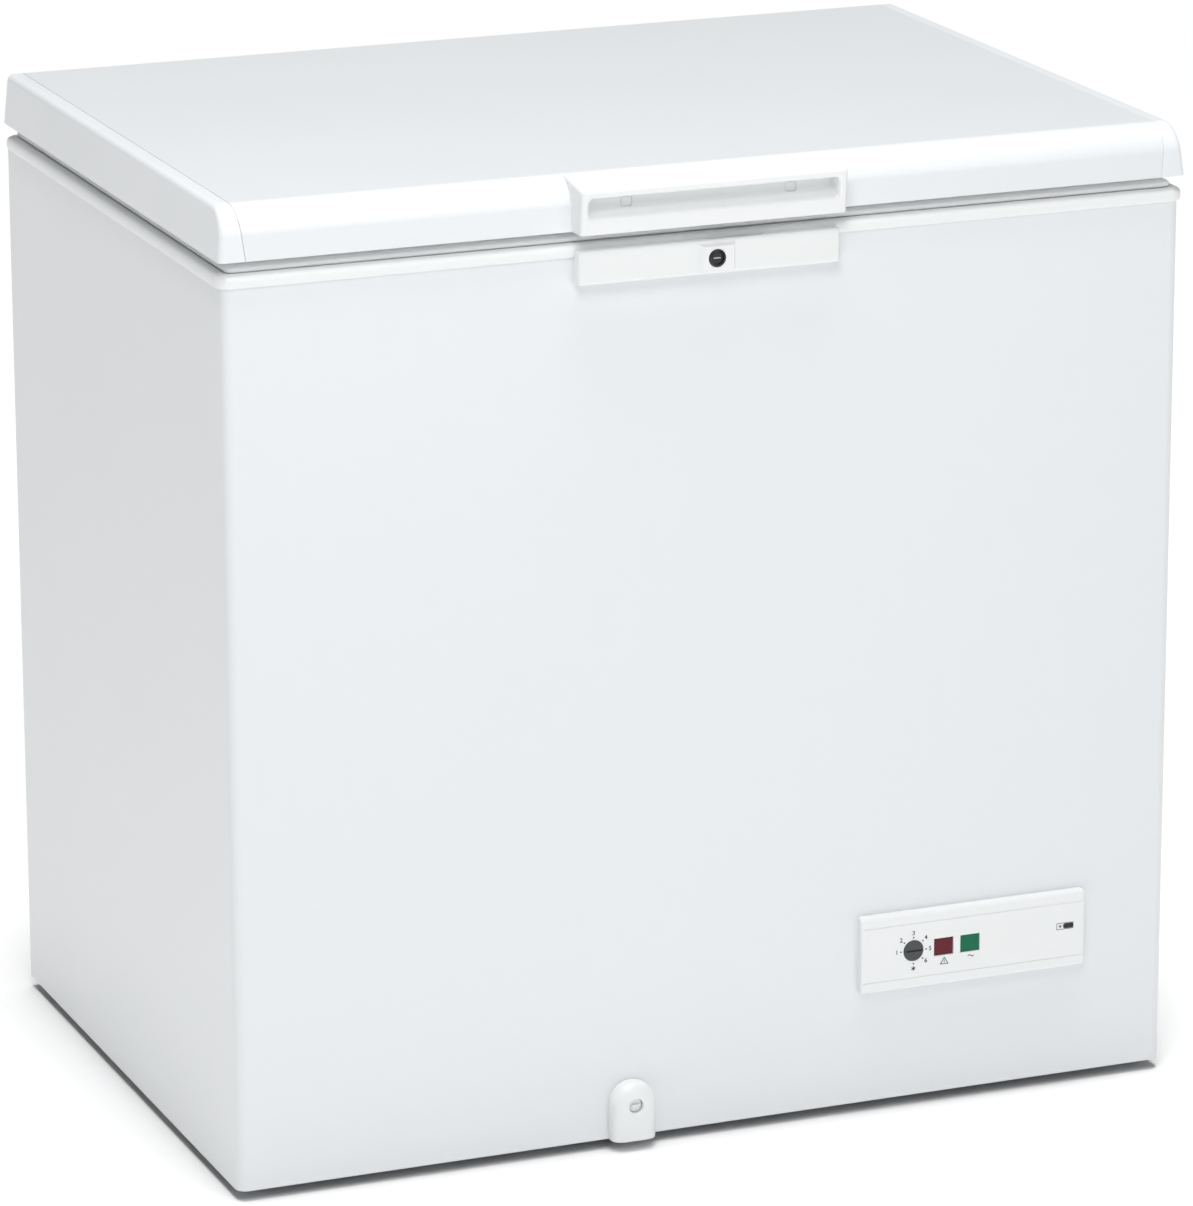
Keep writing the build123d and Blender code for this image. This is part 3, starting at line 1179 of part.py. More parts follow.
with BuildPart() as storage_basket:
    add(ring_wire(BASKET_WIDTH / 2, BASKET_HALF_Y, FRAME_Z, FRAME_WIRE_R))
    mid = 0.5 * BASKET_DRAFT
    add(
        ring_wire(
            BASKET_WIDTH / 2 - mid, BASKET_HALF_Y - mid, FRAME_Z - BASKET_HEIGHT / 2, MESH_WIRE_R
        )
    )
    cross_pitch = (BASKET_WIDTH - 2 * BASKET_DRAFT) / CROSS_WIRES
    for index in range(CROSS_WIRES):
        wire_x = BASKET_X + (index - (CROSS_WIRES - 1) / 2) * cross_pitch
        foot_y = BASKET_HALF_Y - BASKET_DRAFT
        add(
            bent_wire(
                (
                    (wire_x, TANK_Y - BASKET_HALF_Y, FRAME_Z),
                    (wire_x, TANK_Y - foot_y, BASKET_BOTTOM),
                    (wire_x, TANK_Y + foot_y, BASKET_BOTTOM),
                    (wire_x, TANK_Y + BASKET_HALF_Y, FRAME_Z),
                ),
                MESH_WIRE_R,
            )
        )
    long_pitch = 2 * (BASKET_HALF_Y - BASKET_DRAFT) / LONG_WIRES
    for index in range(LONG_WIRES):
        wire_y = TANK_Y + (index - (LONG_WIRES - 1) / 2) * long_pitch
        foot_x = BASKET_WIDTH / 2 - BASKET_DRAFT
        wire_z = BASKET_BOTTOM + 2 * MESH_WIRE_R - WELD
        add(
            bent_wire(
                (
                    (BASKET_X - BASKET_WIDTH / 2, wire_y, FRAME_Z),
                    (BASKET_X - foot_x, wire_y, wire_z),
                    (BASKET_X + foot_x, wire_y, wire_z),
                    (BASKET_X + BASKET_WIDTH / 2, wire_y, FRAME_Z),
                ),
                MESH_WIRE_R,
            )
        )
    for hand in SIDES.values():
        hanger_x = BASKET_X + hand * (BASKET_WIDTH / 2 - HANGER_INSET)
        with BuildSketch(Plane.XZ.offset(-TANK_Y)):
            with Locations((hanger_x, HANGER_Z)):
                RegularPolygon(FRAME_WIRE_R, WIRE_SIDES)
        extrude(amount=HANGER_HALF, both=True)
write_node(storage_basket, "storage_basket")
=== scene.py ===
"""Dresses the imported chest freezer: models the pieces that show, finishes them, lights and frames them."""
import logging
import math
from dataclasses import dataclass
from enum import Enum
from typing import Callable, Sequence

import bmesh
import bpy
from mathutils import Matrix, Vector


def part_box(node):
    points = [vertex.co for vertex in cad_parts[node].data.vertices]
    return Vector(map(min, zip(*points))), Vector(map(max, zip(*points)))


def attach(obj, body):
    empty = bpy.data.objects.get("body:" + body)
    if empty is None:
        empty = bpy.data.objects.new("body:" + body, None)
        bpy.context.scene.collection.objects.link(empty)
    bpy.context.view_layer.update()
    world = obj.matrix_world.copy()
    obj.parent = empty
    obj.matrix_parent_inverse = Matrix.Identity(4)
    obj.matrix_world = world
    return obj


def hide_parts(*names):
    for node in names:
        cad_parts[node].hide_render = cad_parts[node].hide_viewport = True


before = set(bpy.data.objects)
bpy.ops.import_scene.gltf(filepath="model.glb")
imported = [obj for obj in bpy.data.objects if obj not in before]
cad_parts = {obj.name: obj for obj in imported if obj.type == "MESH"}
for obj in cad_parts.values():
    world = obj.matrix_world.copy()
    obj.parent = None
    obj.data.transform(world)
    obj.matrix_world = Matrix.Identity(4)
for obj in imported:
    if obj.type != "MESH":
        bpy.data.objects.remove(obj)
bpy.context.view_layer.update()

LOG = logging.getLogger("chest_freezer")
MM = 0.001
Piece = bpy.types.Object
Point = Sequence[float]

# How near a place has to be to count as there, in millimetres
NEAR = 0.1
# Least and greatest part of a direction that lies along an axis, or across it
ALONG, ACROSS = 0.9, 0.1
# How far a cutter stands out of what it cuts, in millimetres
CLEAR = 5.0
# How far one form runs into the next, in millimetres
LAP = 0.5
# The turn that lays a screw's head flat against the back
BACKWARD = (-math.pi / 2, 0, 0)


def low(node: str) -> Vector:
    """Lowest corner of a CAD node, in millimetres."""
    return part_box(node)[0] / MM


def high(node: str) -> Vector:
    """Highest corner of a CAD node, in millimetres."""
    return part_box(node)[1] / MM


def span(node: str) -> tuple[Vector, Vector, Vector]:
    """Lowest corner, highest corner and middle of a CAD node, in millimetres."""
    return low(node), high(node), (low(node) + high(node)) / 2


# Faces of the cabinet that everything else is set from, in millimetres
HALF = high("outer_wrapper").x
FRONT = low("outer_wrapper").y
BACK = high("rear_panel").y
BASE = low("outer_wrapper").z
SEAM = high("outer_wrapper").z


class Body(Enum):
    """The moving bodies of the freezer."""

    CABINET = "cabinet"
    LID = "lid"
    LOCK = "lock"
    KNOB = "knob"
    TANK_PLUG = "tank_plug"
    STOPPER = "stopper"
    BASKET = "basket"


class Cut(Enum):
    """How one form acts on another."""

    AWAY = "DIFFERENCE"
    ONTO = "UNION"


class Element(Enum):
    """What is selected in edit mode, with its place in an edit mesh."""

    VERT = "verts"
    EDGE = "edges"
    FACE = "faces"


class Axis(Enum):
    """The way a round bar lies, as the turn that lays it there."""

    X = (0.0, math.pi / 2, 0.0)
    Y = (math.pi / 2, 0.0, 0.0)
    Z = (0.0, 0.0, 0.0)

    @property
    def way(self) -> Vector:
        """The axis as a unit direction."""
        return Vector([float(self is axis) for axis in Axis])


class Grain(Enum):
    """What a surface's making leaves on it."""

    ORANGE_PEEL = "sprayed or roller-coated paint"
    SPARKED = "mould texture"
    STUCCO = "embossed sheet"
    SPANGLE = "zinc crystals"
    ROLLED = "rolling lines"
    CELLS = "foam cells"
    PRISMS = "lens ribs"


def linear(code: str) -> tuple[float, float, float, float]:
    """Turns an sRGB hex colour to linear light, by the standard's own curve.

    Args:
        code: six hex digits, with or without a leading mark.

    Returns:
        Red, green, blue and a full alpha.
    """
    parts = [int(code.lstrip("#")[i:i + 2], 16) / 255 for i in (0, 2, 4)]
    light = [c / 12.92 if c <= 0.04045 else ((c + 0.055) / 1.055) ** 2.4 for c in parts]
    return (light[0], light[1], light[2], 1.0)


def add_node(tree: bpy.types.NodeTree, kind: str, sockets: dict, **settings: object) -> bpy.types.Node:
    """Adds one shader node with its settings, values and links.

    Args:
        tree: the material's node tree.
        kind: the node's type name.
        sockets: input name to a plain value, or to the output that feeds it.
        settings: the node's own properties.

    Returns:
        The new node.
    """
    made = tree.nodes.new(kind)
    for key, value in settings.items():
        setattr(made, key, value)
    for key, value in sockets.items():
        if isinstance(value, bpy.types.NodeSocket):
            tree.links.new(value, made.inputs[key])
        else:
            made.inputs[key].default_value = value
    return made


@dataclass(frozen=True)
class Finish:
    """One real surface: its colour, gloss, and the pattern that its making leaves.

    Pitch and relief are in millimetres, and slot is not used.
    """

    name: str
    colour: str
    roughness: float
    grain: Grain
    pitch: float
    relief: float
    tint: str
    slot: str = ""
    metallic: float = 0.0
    coat: float = 0.0
    gloss_spread: float = 0.04
    specular: float = 0.5
    stretch: tuple[float, float, float] = (1.0, 1.0, 1.0)

    # Slow drift of colour and gloss, in clouds about 170 mm across, and the usual span of its noise
    DRIFT = 6.0
    NOISE_SPAN = (0.3, 0.7)
    LEAST_ROUGHNESS = 0.02
    COAT_ROUGHNESS = 0.08
    # The wave node draws about this many ribs in one unit of its scale
    RIBS = 3.14
    NOISE_DETAIL = {Grain.ORANGE_PEEL: 1.0, Grain.SPARKED: 4.0, Grain.ROLLED: 3.0}

    def pattern(self, tree: bpy.types.NodeTree, place: bpy.types.NodeSocket) -> bpy.types.NodeSocket:
        """Adds the nodes of the surface's own pattern.

        Args:
            tree: the material's node tree.
            place: the mapped Object coordinates.

        Returns:
            The socket that holds the pattern's height, from 0 to 1.
        """
        base = {"Vector": place, "Scale": 1.0 / (self.pitch * MM)}
        if self.grain in (Grain.SPANGLE, Grain.CELLS):
            made = add_node(tree, "ShaderNodeTexVoronoi", {**base, "Randomness": 1.0})
            return made.outputs["Distance" if self.grain is Grain.CELLS else "Color"]
        if self.grain is Grain.STUCCO:
            dimples = {**base, "Randomness": 0.9, "Smoothness": 0.6}
            return add_node(tree, "ShaderNodeTexVoronoi", dimples, feature="SMOOTH_F1").outputs["Distance"]
        if self.grain is Grain.PRISMS:
            made = add_node(
                tree,
                "ShaderNodeTexWave",
                {**base, "Scale": base["Scale"] / self.RIBS, "Distortion": 0.0},
                wave_type="BANDS",
                bands_direction="Z",
                wave_profile="TRI",
            )
            return made.outputs["Fac"]
        detail = self.NOISE_DETAIL[self.grain]
        return add_node(tree, "ShaderNodeTexNoise", {**base, "Detail": detail}).outputs["Fac"]

    def build(self) -> bpy.types.Material:
        """Makes the material.

        Returns:
            The material, with every value that is the same all over set on the shader itself.
        """
        made = bpy.data.materials.new(self.name)
        made.use_nodes = True
        tree = made.node_tree
        tree.nodes.clear()
        where = add_node(tree, "ShaderNodeTexCoord", {}).outputs["Object"]
        mapped = add_node(tree, "ShaderNodeMapping", {"Vector": where, "Scale": self.stretch})
        height = self.pattern(tree, mapped.outputs["Vector"])
        cloud = {"Vector": where, "Scale": self.DRIFT, "Detail": 3.0}
        drift = add_node(tree, "ShaderNodeTexNoise", cloud).outputs["Fac"]
        blend = add_node(tree, "ShaderNodeMath", {0: height, 1: drift}, operation="MULTIPLY")
        shades = {"Factor": blend.outputs[0], 6: linear(self.colour), 7: linear(self.tint)}
        colour = add_node(tree, "ShaderNodeMix", shades, data_type="RGBA")
        gloss = add_node(
            tree,
            "ShaderNodeMapRange",
            {
                "Value": drift,
                "From Min": self.NOISE_SPAN[0],
                "From Max": self.NOISE_SPAN[1],
                "To Min": max(self.roughness - self.gloss_spread, self.LEAST_ROUGHNESS),
                "To Max": self.roughness + self.gloss_spread,
            },
        )
        bumps = {"Height": height, "Strength": 1.0, "Distance": self.relief * MM}
        bump = add_node(tree, "ShaderNodeBump", bumps)
        shader = add_node(
            tree,
            "ShaderNodeBsdfPrincipled",
            {
                "Base Color": colour.outputs[2],
                "Roughness": gloss.outputs["Result"],
                "Normal": bump.outputs["Normal"],
                "Metallic": self.metallic,
                "Specular IOR Level": self.specular,
                "Coat Weight": self.coat,
                "Coat Roughness": self.COAT_ROUGHNESS,
            },
        )
        add_node(tree, "ShaderNodeOutputMaterial", {"Surface": shader.outputs["BSDF"]})
        made.diffuse_color = linear(self.colour)
        return made


class Palette:
    """Every finish on the freezer, each made once.

    Spark grain is drawn coarser than life, so that it shows.
    """

    # Coil-coated steel: flat and bright, with the faint swell that roller-coated paint leaves
    ENAMEL = Finish(
        "coil_coated_steel", "#e8ebed", 0.30, Grain.ORANGE_PEEL, 9.0, 0.010, "#e7eaec", "white_enamel_sheet",
        coat=0.2, gloss_spread=0.012,
    )
    # Injection-moulded polystyrene: a softer, slightly warmer white with a satin mould face
    MOULDING = Finish(
        "moulded_polystyrene", "#eff1f1", 0.36, Grain.SPARKED, 1.2, 0.004, "#ebedee", "white_moulding",
        coat=0.1,
    )
    # Moulded end rails: the same plastic from another mould, a shade cooler than the handle
    RAIL = Finish(
        "moulded_rail_plastic", "#ebeef0", 0.34, Grain.SPARKED, 1.2, 0.004, "#e7eaed", "white_moulding",
        coat=0.1,
    )
    # Hot-dip galvanised steel: grey crystals a centimetre or so across, each at its own brightness
    GALVANISED = Finish(
        "galvanised_steel", "#b3b7ba", 0.42, Grain.SPANGLE, 13.0, 0.004, "#8f9499", "galvanised_sheet",
        metallic=0.85,
    )
    # Stucco-embossed coated sheet: small round dimples that break the reflection up
    LINER = Finish(
        "stucco_embossed_sheet", "#eceeef", 0.38, Grain.STUCCO, 4.2, 0.20, "#e3e6e8", "coated_liner",
        coat=0.15,
    )
    # Rigid polyurethane foam: pale straw, with fine open cells where it is cut
    FOAM = Finish("rigid_polyurethane_foam", "#d9c48c", 0.90, Grain.CELLS, 1.4, 0.25, "#c5ac6e")
    # Extruded soft vinyl: off-white and matt, with the faint drawn lines of the die
    SEAL = Finish("extruded_soft_vinyl", "#f4f5f6", 0.62, Grain.ROLLED, 1.5, 0.001, "#f0f1f2", "grey_seal")
    # Spark-textured black plastic: dull, with a fine even grain
    DARK = Finish(
        "spark_textured_plastic", "#2f3133", 0.55, Grain.SPARKED, 0.8, 0.02, "#27292b", "dark_moulding"
    )
    # Moulded nylon knob: dark grey with a slight sheen
    KNOB = Finish(
        "moulded_nylon", "#4a4d4e", 0.46, Grain.SPARKED, 0.7, 0.010, "#404344", "knob_moulding",
        specular=0.35,
    )
    # Tinted polycarbonate windows: deep and glossy, ribbed behind so that they never look flat
    RED = Finish(
        "red_polycarbonate", "#6a1f2c", 0.20, Grain.PRISMS, 1.6, 0.05, "#571722", "red_lens", specular=0.2
    )
    GREEN = Finish(
        "green_polycarbonate", "#0a7352", 0.20, Grain.PRISMS, 1.6, 0.05, "#075c41", "green_lens", specular=0.2
    )
    # Zinc-plated steel: bright bluish grey with soft rolling lines
    ZINC = Finish(
        "zinc_plated_steel", "#c3c8cc", 0.34, Grain.ROLLED, 2.5, 0.006, "#a9aeb4", "zinc_steel", metallic=1.0,
        stretch=(1.0, 1.0, 0.12),
    )
    # Nickel-plated brass: a warm bright metal, turned fine
    NICKEL = Finish(
        "nickel_plated_brass", "#c9c5bd", 0.26, Grain.ROLLED, 0.8, 0.003, "#b4b0a8", "plated_brass",
        metallic=1.0,
    )
    # Black-nickel plating: a dark, smoky metal round the key
    SMOKED = Finish(
        "black_nickel_plate", "#434446", 0.34, Grain.ROLLED, 0.8, 0.003, "#353638", "plated_brass",
        metallic=0.9,
    )
    # Stoved black enamel: thick, glossy and slightly wavy
    BLACK = Finish(
        "stoved_black_enamel", "#1b1c1e", 0.28, Grain.ORANGE_PEEL, 3.0, 0.03, "#232427", "black_enamel",
        coat=0.3,
    )
    # Moulded black rubber: matt, greyed where it rubs
    RUBBER = Finish("moulded_rubber", "#26272a", 0.78, Grain.SPARKED, 1.0, 0.02, "#34363a", "black_rubber")
    # Plastic-dipped wire: a thick, smooth white coat
    WIRE = Finish(
        "plastic_dipped_wire", "#eef0f0", 0.32, Grain.ORANGE_PEEL, 2.0, 0.02, "#e6e9ea", "coated_wire",
        coat=0.3,
    )
    # Drawn copper: warm pink-brown, darkened here and there by handling
    COPPER = Finish(
        "drawn_copper_tube", "#c07f5a", 0.32, Grain.ROLLED, 1.5, 0.006, "#8f5a3f", "copper_tube", metallic=1.0
    )
    # Pad-printed ink: a thin dark grey film
    INK = Finish(
        "pad_printed_ink", "#2c2e30", 0.60, Grain.SPARKED, 0.6, 0.002, "#343638", "dark_moulding",
        specular=0.3,
    )
    # Matt backdrop paper: a bare white floor that shows no edge
    PAPER = Finish("matt_backdrop_paper", "#fbfbfb", 0.9, Grain.SPARKED, 6.0, 0.01, "#f8f8f8")

    made: dict[str, bpy.types.Material] = {}

    @classmethod
    def material(cls, finish: Finish) -> bpy.types.Material:
        """The finish's material, made on first use.

        Args:
            finish: the finish.

        Returns:
            Its material.
        """
        if finish.name not in cls.made:
            cls.made[finish.name] = finish.build()
        return cls.made[finish.name]


class Bench:
    """The modelling bench: keeps mode and selection straight round Blender's own operators."""

    # Vertices closer than this are one, in metres, and a height too small to see, in millimetres
    WELD = 0.00001
    HAIR = 0.02

    @staticmethod
    def clear() -> None:
        """Leaves edit mode and deselects everything."""
        if bpy.context.object and bpy.context.object.mode != "OBJECT":
            bpy.ops.object.mode_set(mode="OBJECT")
        bpy.ops.object.select_all(action="DESELECT")

    @classmethod
    def take(cls, *pieces: Piece) -> None:
        """Selects these pieces alone, the last one active.

        Args:
            pieces: the pieces to select.
        """
        cls.clear()
        for piece in pieces:
            piece.select_set(True)
        bpy.context.view_layer.objects.active = pieces[-1]

    @classmethod
    def named(cls, name: str) -> Piece:
        """Names the new active piece and puts its place and size into its mesh.

        Args:
            name: the piece's name.

        Returns:
            The piece.
        """
        piece = bpy.context.object
        piece.name = name
        piece.data.name = name
        bpy.ops.object.transform_apply(location=True, rotation=True, scale=True)
        return piece

    @classmethod
    def block(cls, name: str, lo: Point, hi: Point) -> Piece:
        """Adds a block between two corners.

        Args:
            name: the piece's name.
            lo: lowest corner, in millimetres.
            hi: highest corner, in millimetres.

        Returns:
            The block.
        """
        cls.clear()
        lo, hi = Vector(lo), Vector(hi)
        bpy.ops.mesh.primitive_cube_add(size=1.0, location=(lo + hi) / 2 * MM)
        bpy.context.object.scale = (hi - lo) * MM
        return cls.named(name)

    @classmethod
    def slab(cls, name: str, middle: Point, half: Point, depth: Point) -> Piece:
        """Adds a block that faces the front.

        Args:
            name: the piece's name.
            middle: X and Z of its middle, in millimetres.
            half: half its width and half its height.
            depth: Y of its front and of its rear.

        Returns:
            The block.
        """
        (x, z), (half_x, half_z), (front, rear) = middle, half, depth
        return cls.block(name, (x - half_x, front, z - half_z), (x + half_x, rear, z + half_z))

    @classmethod
    def bar(cls, name: str, start: Point, length: float, radius: float, axis: Axis, sides: int = 48) -> Piece:
        """Adds a round bar that runs from a point along one axis.

        Args:
            name: the piece's name.
            start: centre of the end with the lowest coordinate, in millimetres.
            length: how far the bar runs.
            radius: the bar's radius.
            axis: the way it lies.
            sides: how many faces go round it.

        Returns:
            The bar.
        """
        cls.clear()
        centre = Vector(start) + axis.way * length / 2
        bpy.ops.mesh.primitive_cylinder_add(
            vertices=sides, radius=radius * MM, depth=length * MM, location=centre * MM, rotation=axis.value
        )
        return cls.named(name)

    @classmethod
    def choose(cls, piece: Piece, kind: Element, wanted: Callable[..., bool]) -> int:
        """Enters edit mode and selects the elements that are wanted.

        Args:
            piece: the piece to edit.
            kind: what is selected.
            wanted: takes an element of the edit mesh.

        Returns:
            How many were selected.
        """
        cls.take(piece)
        bpy.ops.object.mode_set(mode="EDIT")
        bpy.ops.mesh.select_mode(type=kind.name)
        bpy.ops.mesh.select_all(action="DESELECT")
        mesh = bmesh.from_edit_mesh(piece.data)
        hits = [one for one in getattr(mesh, kind.value) if wanted(one)]
        for hit in hits:
            hit.select_set(True)
        if kind is Element.VERT:
            mesh.select_flush(True)
        bmesh.update_edit_mesh(piece.data)
        return len(hits)

    @classmethod
    def everything(cls, piece: Piece) -> None:
        """Enters edit mode with the whole piece selected."""
        cls.choose(piece, Element.VERT, lambda v: True)

    @classmethod
    def edit(cls, piece: Piece, kind: Element, test: Callable[..., bool]) -> int:
        """Enters edit mode and selects by place.

        Args:
            piece: the piece to edit.
            kind: what is selected.
            test: takes a vertex's place, an edge's middle and direction, or a face's middle and normal.

        Returns:
            How many were selected.
        """
        def wanted(one: bmesh.types.BMVert | bmesh.types.BMEdge | bmesh.types.BMFace) -> bool:
            """Whether the element's place passes the test.

            Args:
                one: an element of the edit mesh.

            Returns:
                True if it is wanted.
            """
            if kind is Element.VERT:
                return test(one.co / MM)
            if kind is Element.FACE:
                return test(one.calc_center_median() / MM, one.normal)
            a, b = (v.co / MM for v in one.verts)
            way = (b - a).normalized()
            return test((a + b) / 2, Vector((abs(way.x), abs(way.y), abs(way.z))))

        return cls.choose(piece, kind, wanted)

    @classmethod
    def shift(cls, piece: Piece, test: Callable[[Vector], bool], by: Point) -> None:
        """Moves the vertices that pass the test, by millimetres.

        Args:
            piece: the piece to shape.
            test: takes a vertex's place, in millimetres.
            by: how far they move, in millimetres.
        """
        cls.edit(piece, Element.VERT, test)
        bpy.ops.transform.translate(value=Vector(by) * MM)
        cls.clear()

    @classmethod
    def round(
        cls,
        piece: Piece,
        radius: float,
        test: Callable[[Vector, Vector], bool],
        segments: int = 6,
        clamp: bool = True,
    ) -> None:
        """Rounds the edges that pass the test.

        Args:
            piece: the piece to shape.
            radius: distance from the old edge to where the rounding starts, in millimetres.
            test: takes an edge's middle and its direction.
            segments: faces across the rounding.
            clamp: whether short edges nearby hold the rounding back.
        """
        if cls.edit(piece, Element.EDGE, test):
            bpy.ops.mesh.bevel(
                offset=radius * MM, segments=segments, profile=0.5, affect="EDGES", clamp_overlap=clamp
            )
        cls.clear()

    @classmethod
    def drop_faces(cls, piece: Piece, test: Callable[[Vector, Vector], bool]) -> None:
        """Deletes the faces that pass the test.

        Args:
            piece: the piece to shape.
            test: takes a face's middle and its normal.
        """
        cls.edit(piece, Element.FACE, test)
        bpy.ops.mesh.delete(type="FACE")
        cls.clear()

    @classmethod
    def outward(cls, piece: Piece) -> None:
        """Merges doubled vertices and turns every face outwards.

        Args:
            piece: the piece to mend.
        """
        cls.everything(piece)
        bpy.ops.mesh.remove_doubles(threshold=cls.WELD)
        bpy.ops.mesh.normals_make_consistent(inside=False)
        cls.clear()

    @classmethod
    def slice(cls, piece: Piece, point: Point, normal: Point, keep_outer: bool) -> None:
        """Cuts the piece by a plane and keeps one side, left open.

        Args:
            piece: the piece to cut.
            point: a point of the plane, in millimetres.
            normal: the plane's normal.
            keep_outer: whether the side that the normal points to stays.
        """
        cls.everything(piece)
        bpy.ops.mesh.bisect(
            plane_co=Vector(point) * MM, plane_no=normal, clear_inner=keep_outer, clear_outer=not keep_outer
        )
        cls.clear()

    @classmethod
    def modify(cls, piece: Piece, kind: str, **settings: object) -> None:
        """Adds a modifier and applies it.

        Args:
            piece: the piece to shape.
            kind: the modifier's type name.
            settings: the modifier's own properties.
        """
        made = piece.modifiers.new(kind.lower(), kind)
        for key, value in settings.items():
            setattr(made, key, value)
        cls.take(piece)
        bpy.ops.object.modifier_apply(modifier=made.name)

    @classmethod
    def combine(cls, piece: Piece, tool: Piece, how: Cut) -> None:
        """Cuts the tool away from the piece or joins it on, and removes the tool."""
        cls.modify(piece, "BOOLEAN", operation=how.value, solver="EXACT", object=tool)
        bpy.data.objects.remove(tool)

    @classmethod
    def carve(cls, piece: Piece, lo: Point, hi: Point) -> None:
        """Cuts a square-cornered hollow out of a piece, between two corners."""
        cls.combine(piece, cls.block("hollow", lo, hi), Cut.AWAY)

    @classmethod
    def drill(cls, piece: Piece, start: Point, depth: float, radius: float, sides: int) -> None:
        """Drills a round hole that runs back from a point."""
        cls.combine(piece, cls.bar("bore", start, depth, radius, Axis.Y, sides), Cut.AWAY)

    @classmethod
    def wall(cls, piece: Piece, thickness: float) -> None:
        """Gives an open shell its wall, inwards."""
        cls.modify(piece, "SOLIDIFY", thickness=thickness * MM, offset=-1.0, use_even_offset=True)

    @classmethod
    def soften(cls, piece: Piece, width: float, segments: int = 2, angle: float = 40.0) -> None:
        """Breaks every sharp edge by a small rounding.

        Args:
            piece: the piece to shape.
            width: the rounding's width, in millimetres.
            segments: faces across it.
            angle: edges that turn more than this are rounded, in degrees.
        """
        turn = math.radians(angle)
        cls.modify(
            piece, "BEVEL", width=width * MM, segments=segments, limit_method="ANGLE", angle_limit=turn
        )

    @classmethod
    def merge(cls, name: str, *pieces: Piece) -> Piece:
        """Joins pieces into the last one, under a new name.

        Args:
            name: the joined piece's name.
            pieces: the pieces to join.

        Returns:
            The joined piece.
        """
        cls.take(*pieces)
        bpy.ops.object.join()
        bpy.context.object.name = name
        return bpy.context.object

    @classmethod
    def copy(cls, piece: Piece, name: str, by: Point = (0, 0, 0)) -> Piece:
        """Copies a piece with its own mesh and moves the copy.

        Args:
            piece: the piece to copy.
            name: the copy's name.
            by: how far the copy stands from the first, in millimetres.

        Returns:
            The copy.
        """
        cls.take(piece)
        bpy.ops.object.duplicate()
        bpy.context.object.location = Vector(by) * MM
        return cls.named(name)

    @classmethod
    def traced(cls, node: str, name: str) -> Piece:
        """Copies a CAD node's form as whole faces, ready to be softened.

        Args:
            node: the CAD node.
            name: the new piece's name.

        Returns:
            The copy, merged and with its flat triangles joined.
        """
        cls.clear()
        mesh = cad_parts[node].data.copy()
        mesh.materials.clear()
        piece = bpy.data.objects.new(name, mesh)
        bpy.context.scene.collection.objects.link(piece)
        cls.everything(piece)
        bpy.ops.mesh.customdata_custom_splitnormals_clear()
        bpy.ops.mesh.remove_doubles(threshold=cls.WELD)
        bpy.ops.mesh.dissolve_limited(angle_limit=math.radians(0.5))
        cls.clear()
        return piece

    @classmethod
    def ring(cls, name: str, stations: Sequence[Sequence[float]], segments: int = 8) -> Piece:
        """Lofts a closed ring through rounded rectangles.

        Args:
            name: the piece's name.
            stations: half width, half depth, middle Y, corner radius and height of each loop, in order.
            segments: faces round each corner.

        Returns:
            The ring.
        """
        loops = []
        for index, (half_x, half_y, middle, radius, z) in enumerate(stations):
            cls.clear()
            # Two loops in one plane give the bridge no direction, so every other loop is a hair higher
            height = z + cls.HAIR * (index % 2)
            bpy.ops.mesh.primitive_plane_add(size=2.0, location=(0, middle * MM, height * MM))
            bpy.context.object.scale = (half_x * MM, half_y * MM, 1)
            loop = cls.named(name)
            cls.everything(loop)
            bpy.ops.mesh.bevel(offset=radius * MM, segments=segments, profile=0.5, affect="VERTICES")
            bpy.ops.mesh.select_all(action="SELECT")
            bpy.ops.mesh.delete(type="ONLY_FACE")
            cls.clear()
            loops.append(loop)
        count = len(loops[0].data.vertices)
        piece = cls.merge(name, *reversed(loops))
        for index in range(len(stations)):
            pair = {index, (index + 1) % len(stations)}

            def in_pair(edge: bmesh.types.BMEdge) -> bool:
                """Whether an edge lies in one of the two loops to bridge.

                Args:
                    edge: an edge of the edit mesh.

                Returns:
                    True if it does.
                """
                ends = {vertex.index // count for vertex in edge.verts}
                return len(ends) == 1 and ends <= pair

            cls.choose(piece, Element.EDGE, in_pair)
            bpy.ops.mesh.bridge_edge_loops()
            cls.clear()
        return piece

    @classmethod
    def wire(
        cls, name: str, points: Sequence[Point], radius: float, bend: float, closed: bool = False
    ) -> Piece:
        """Bends a round wire through points.

        Args:
            name: the piece's name.
            points: the wire's corners in order, in millimetres.
            radius: the wire's radius.
            bend: how far from each corner the bend starts.
            closed: whether the last point joins the first.

        Returns:
            The wire.
        """
        cls.clear()
        bpy.ops.mesh.primitive_circle_add(vertices=max(len(points), 3), radius=MM)
        piece = cls.named(name)
        piece.data.clear_geometry()
        last = len(points) - 1
        links = [(i, i + 1) for i in range(last)] + [(last, 0)] * closed
        piece.data.from_pydata([Vector(p) * MM for p in points], links, [])
        ends = set() if closed else {0, last}
        if bend and last > 1:
            cls.choose(piece, Element.VERT, lambda v: v.index not in ends)
            bpy.ops.mesh.bevel(offset=bend * MM, segments=5, profile=0.5, affect="VERTICES")
        cls.take(piece)
        bpy.ops.object.convert(target="CURVE")
        piece.data.bevel_depth = radius * MM
        piece.data.bevel_resolution = 3
        piece.data.use_fill_caps = True
        bpy.ops.object.convert(target="MESH")
        return bpy.context.object

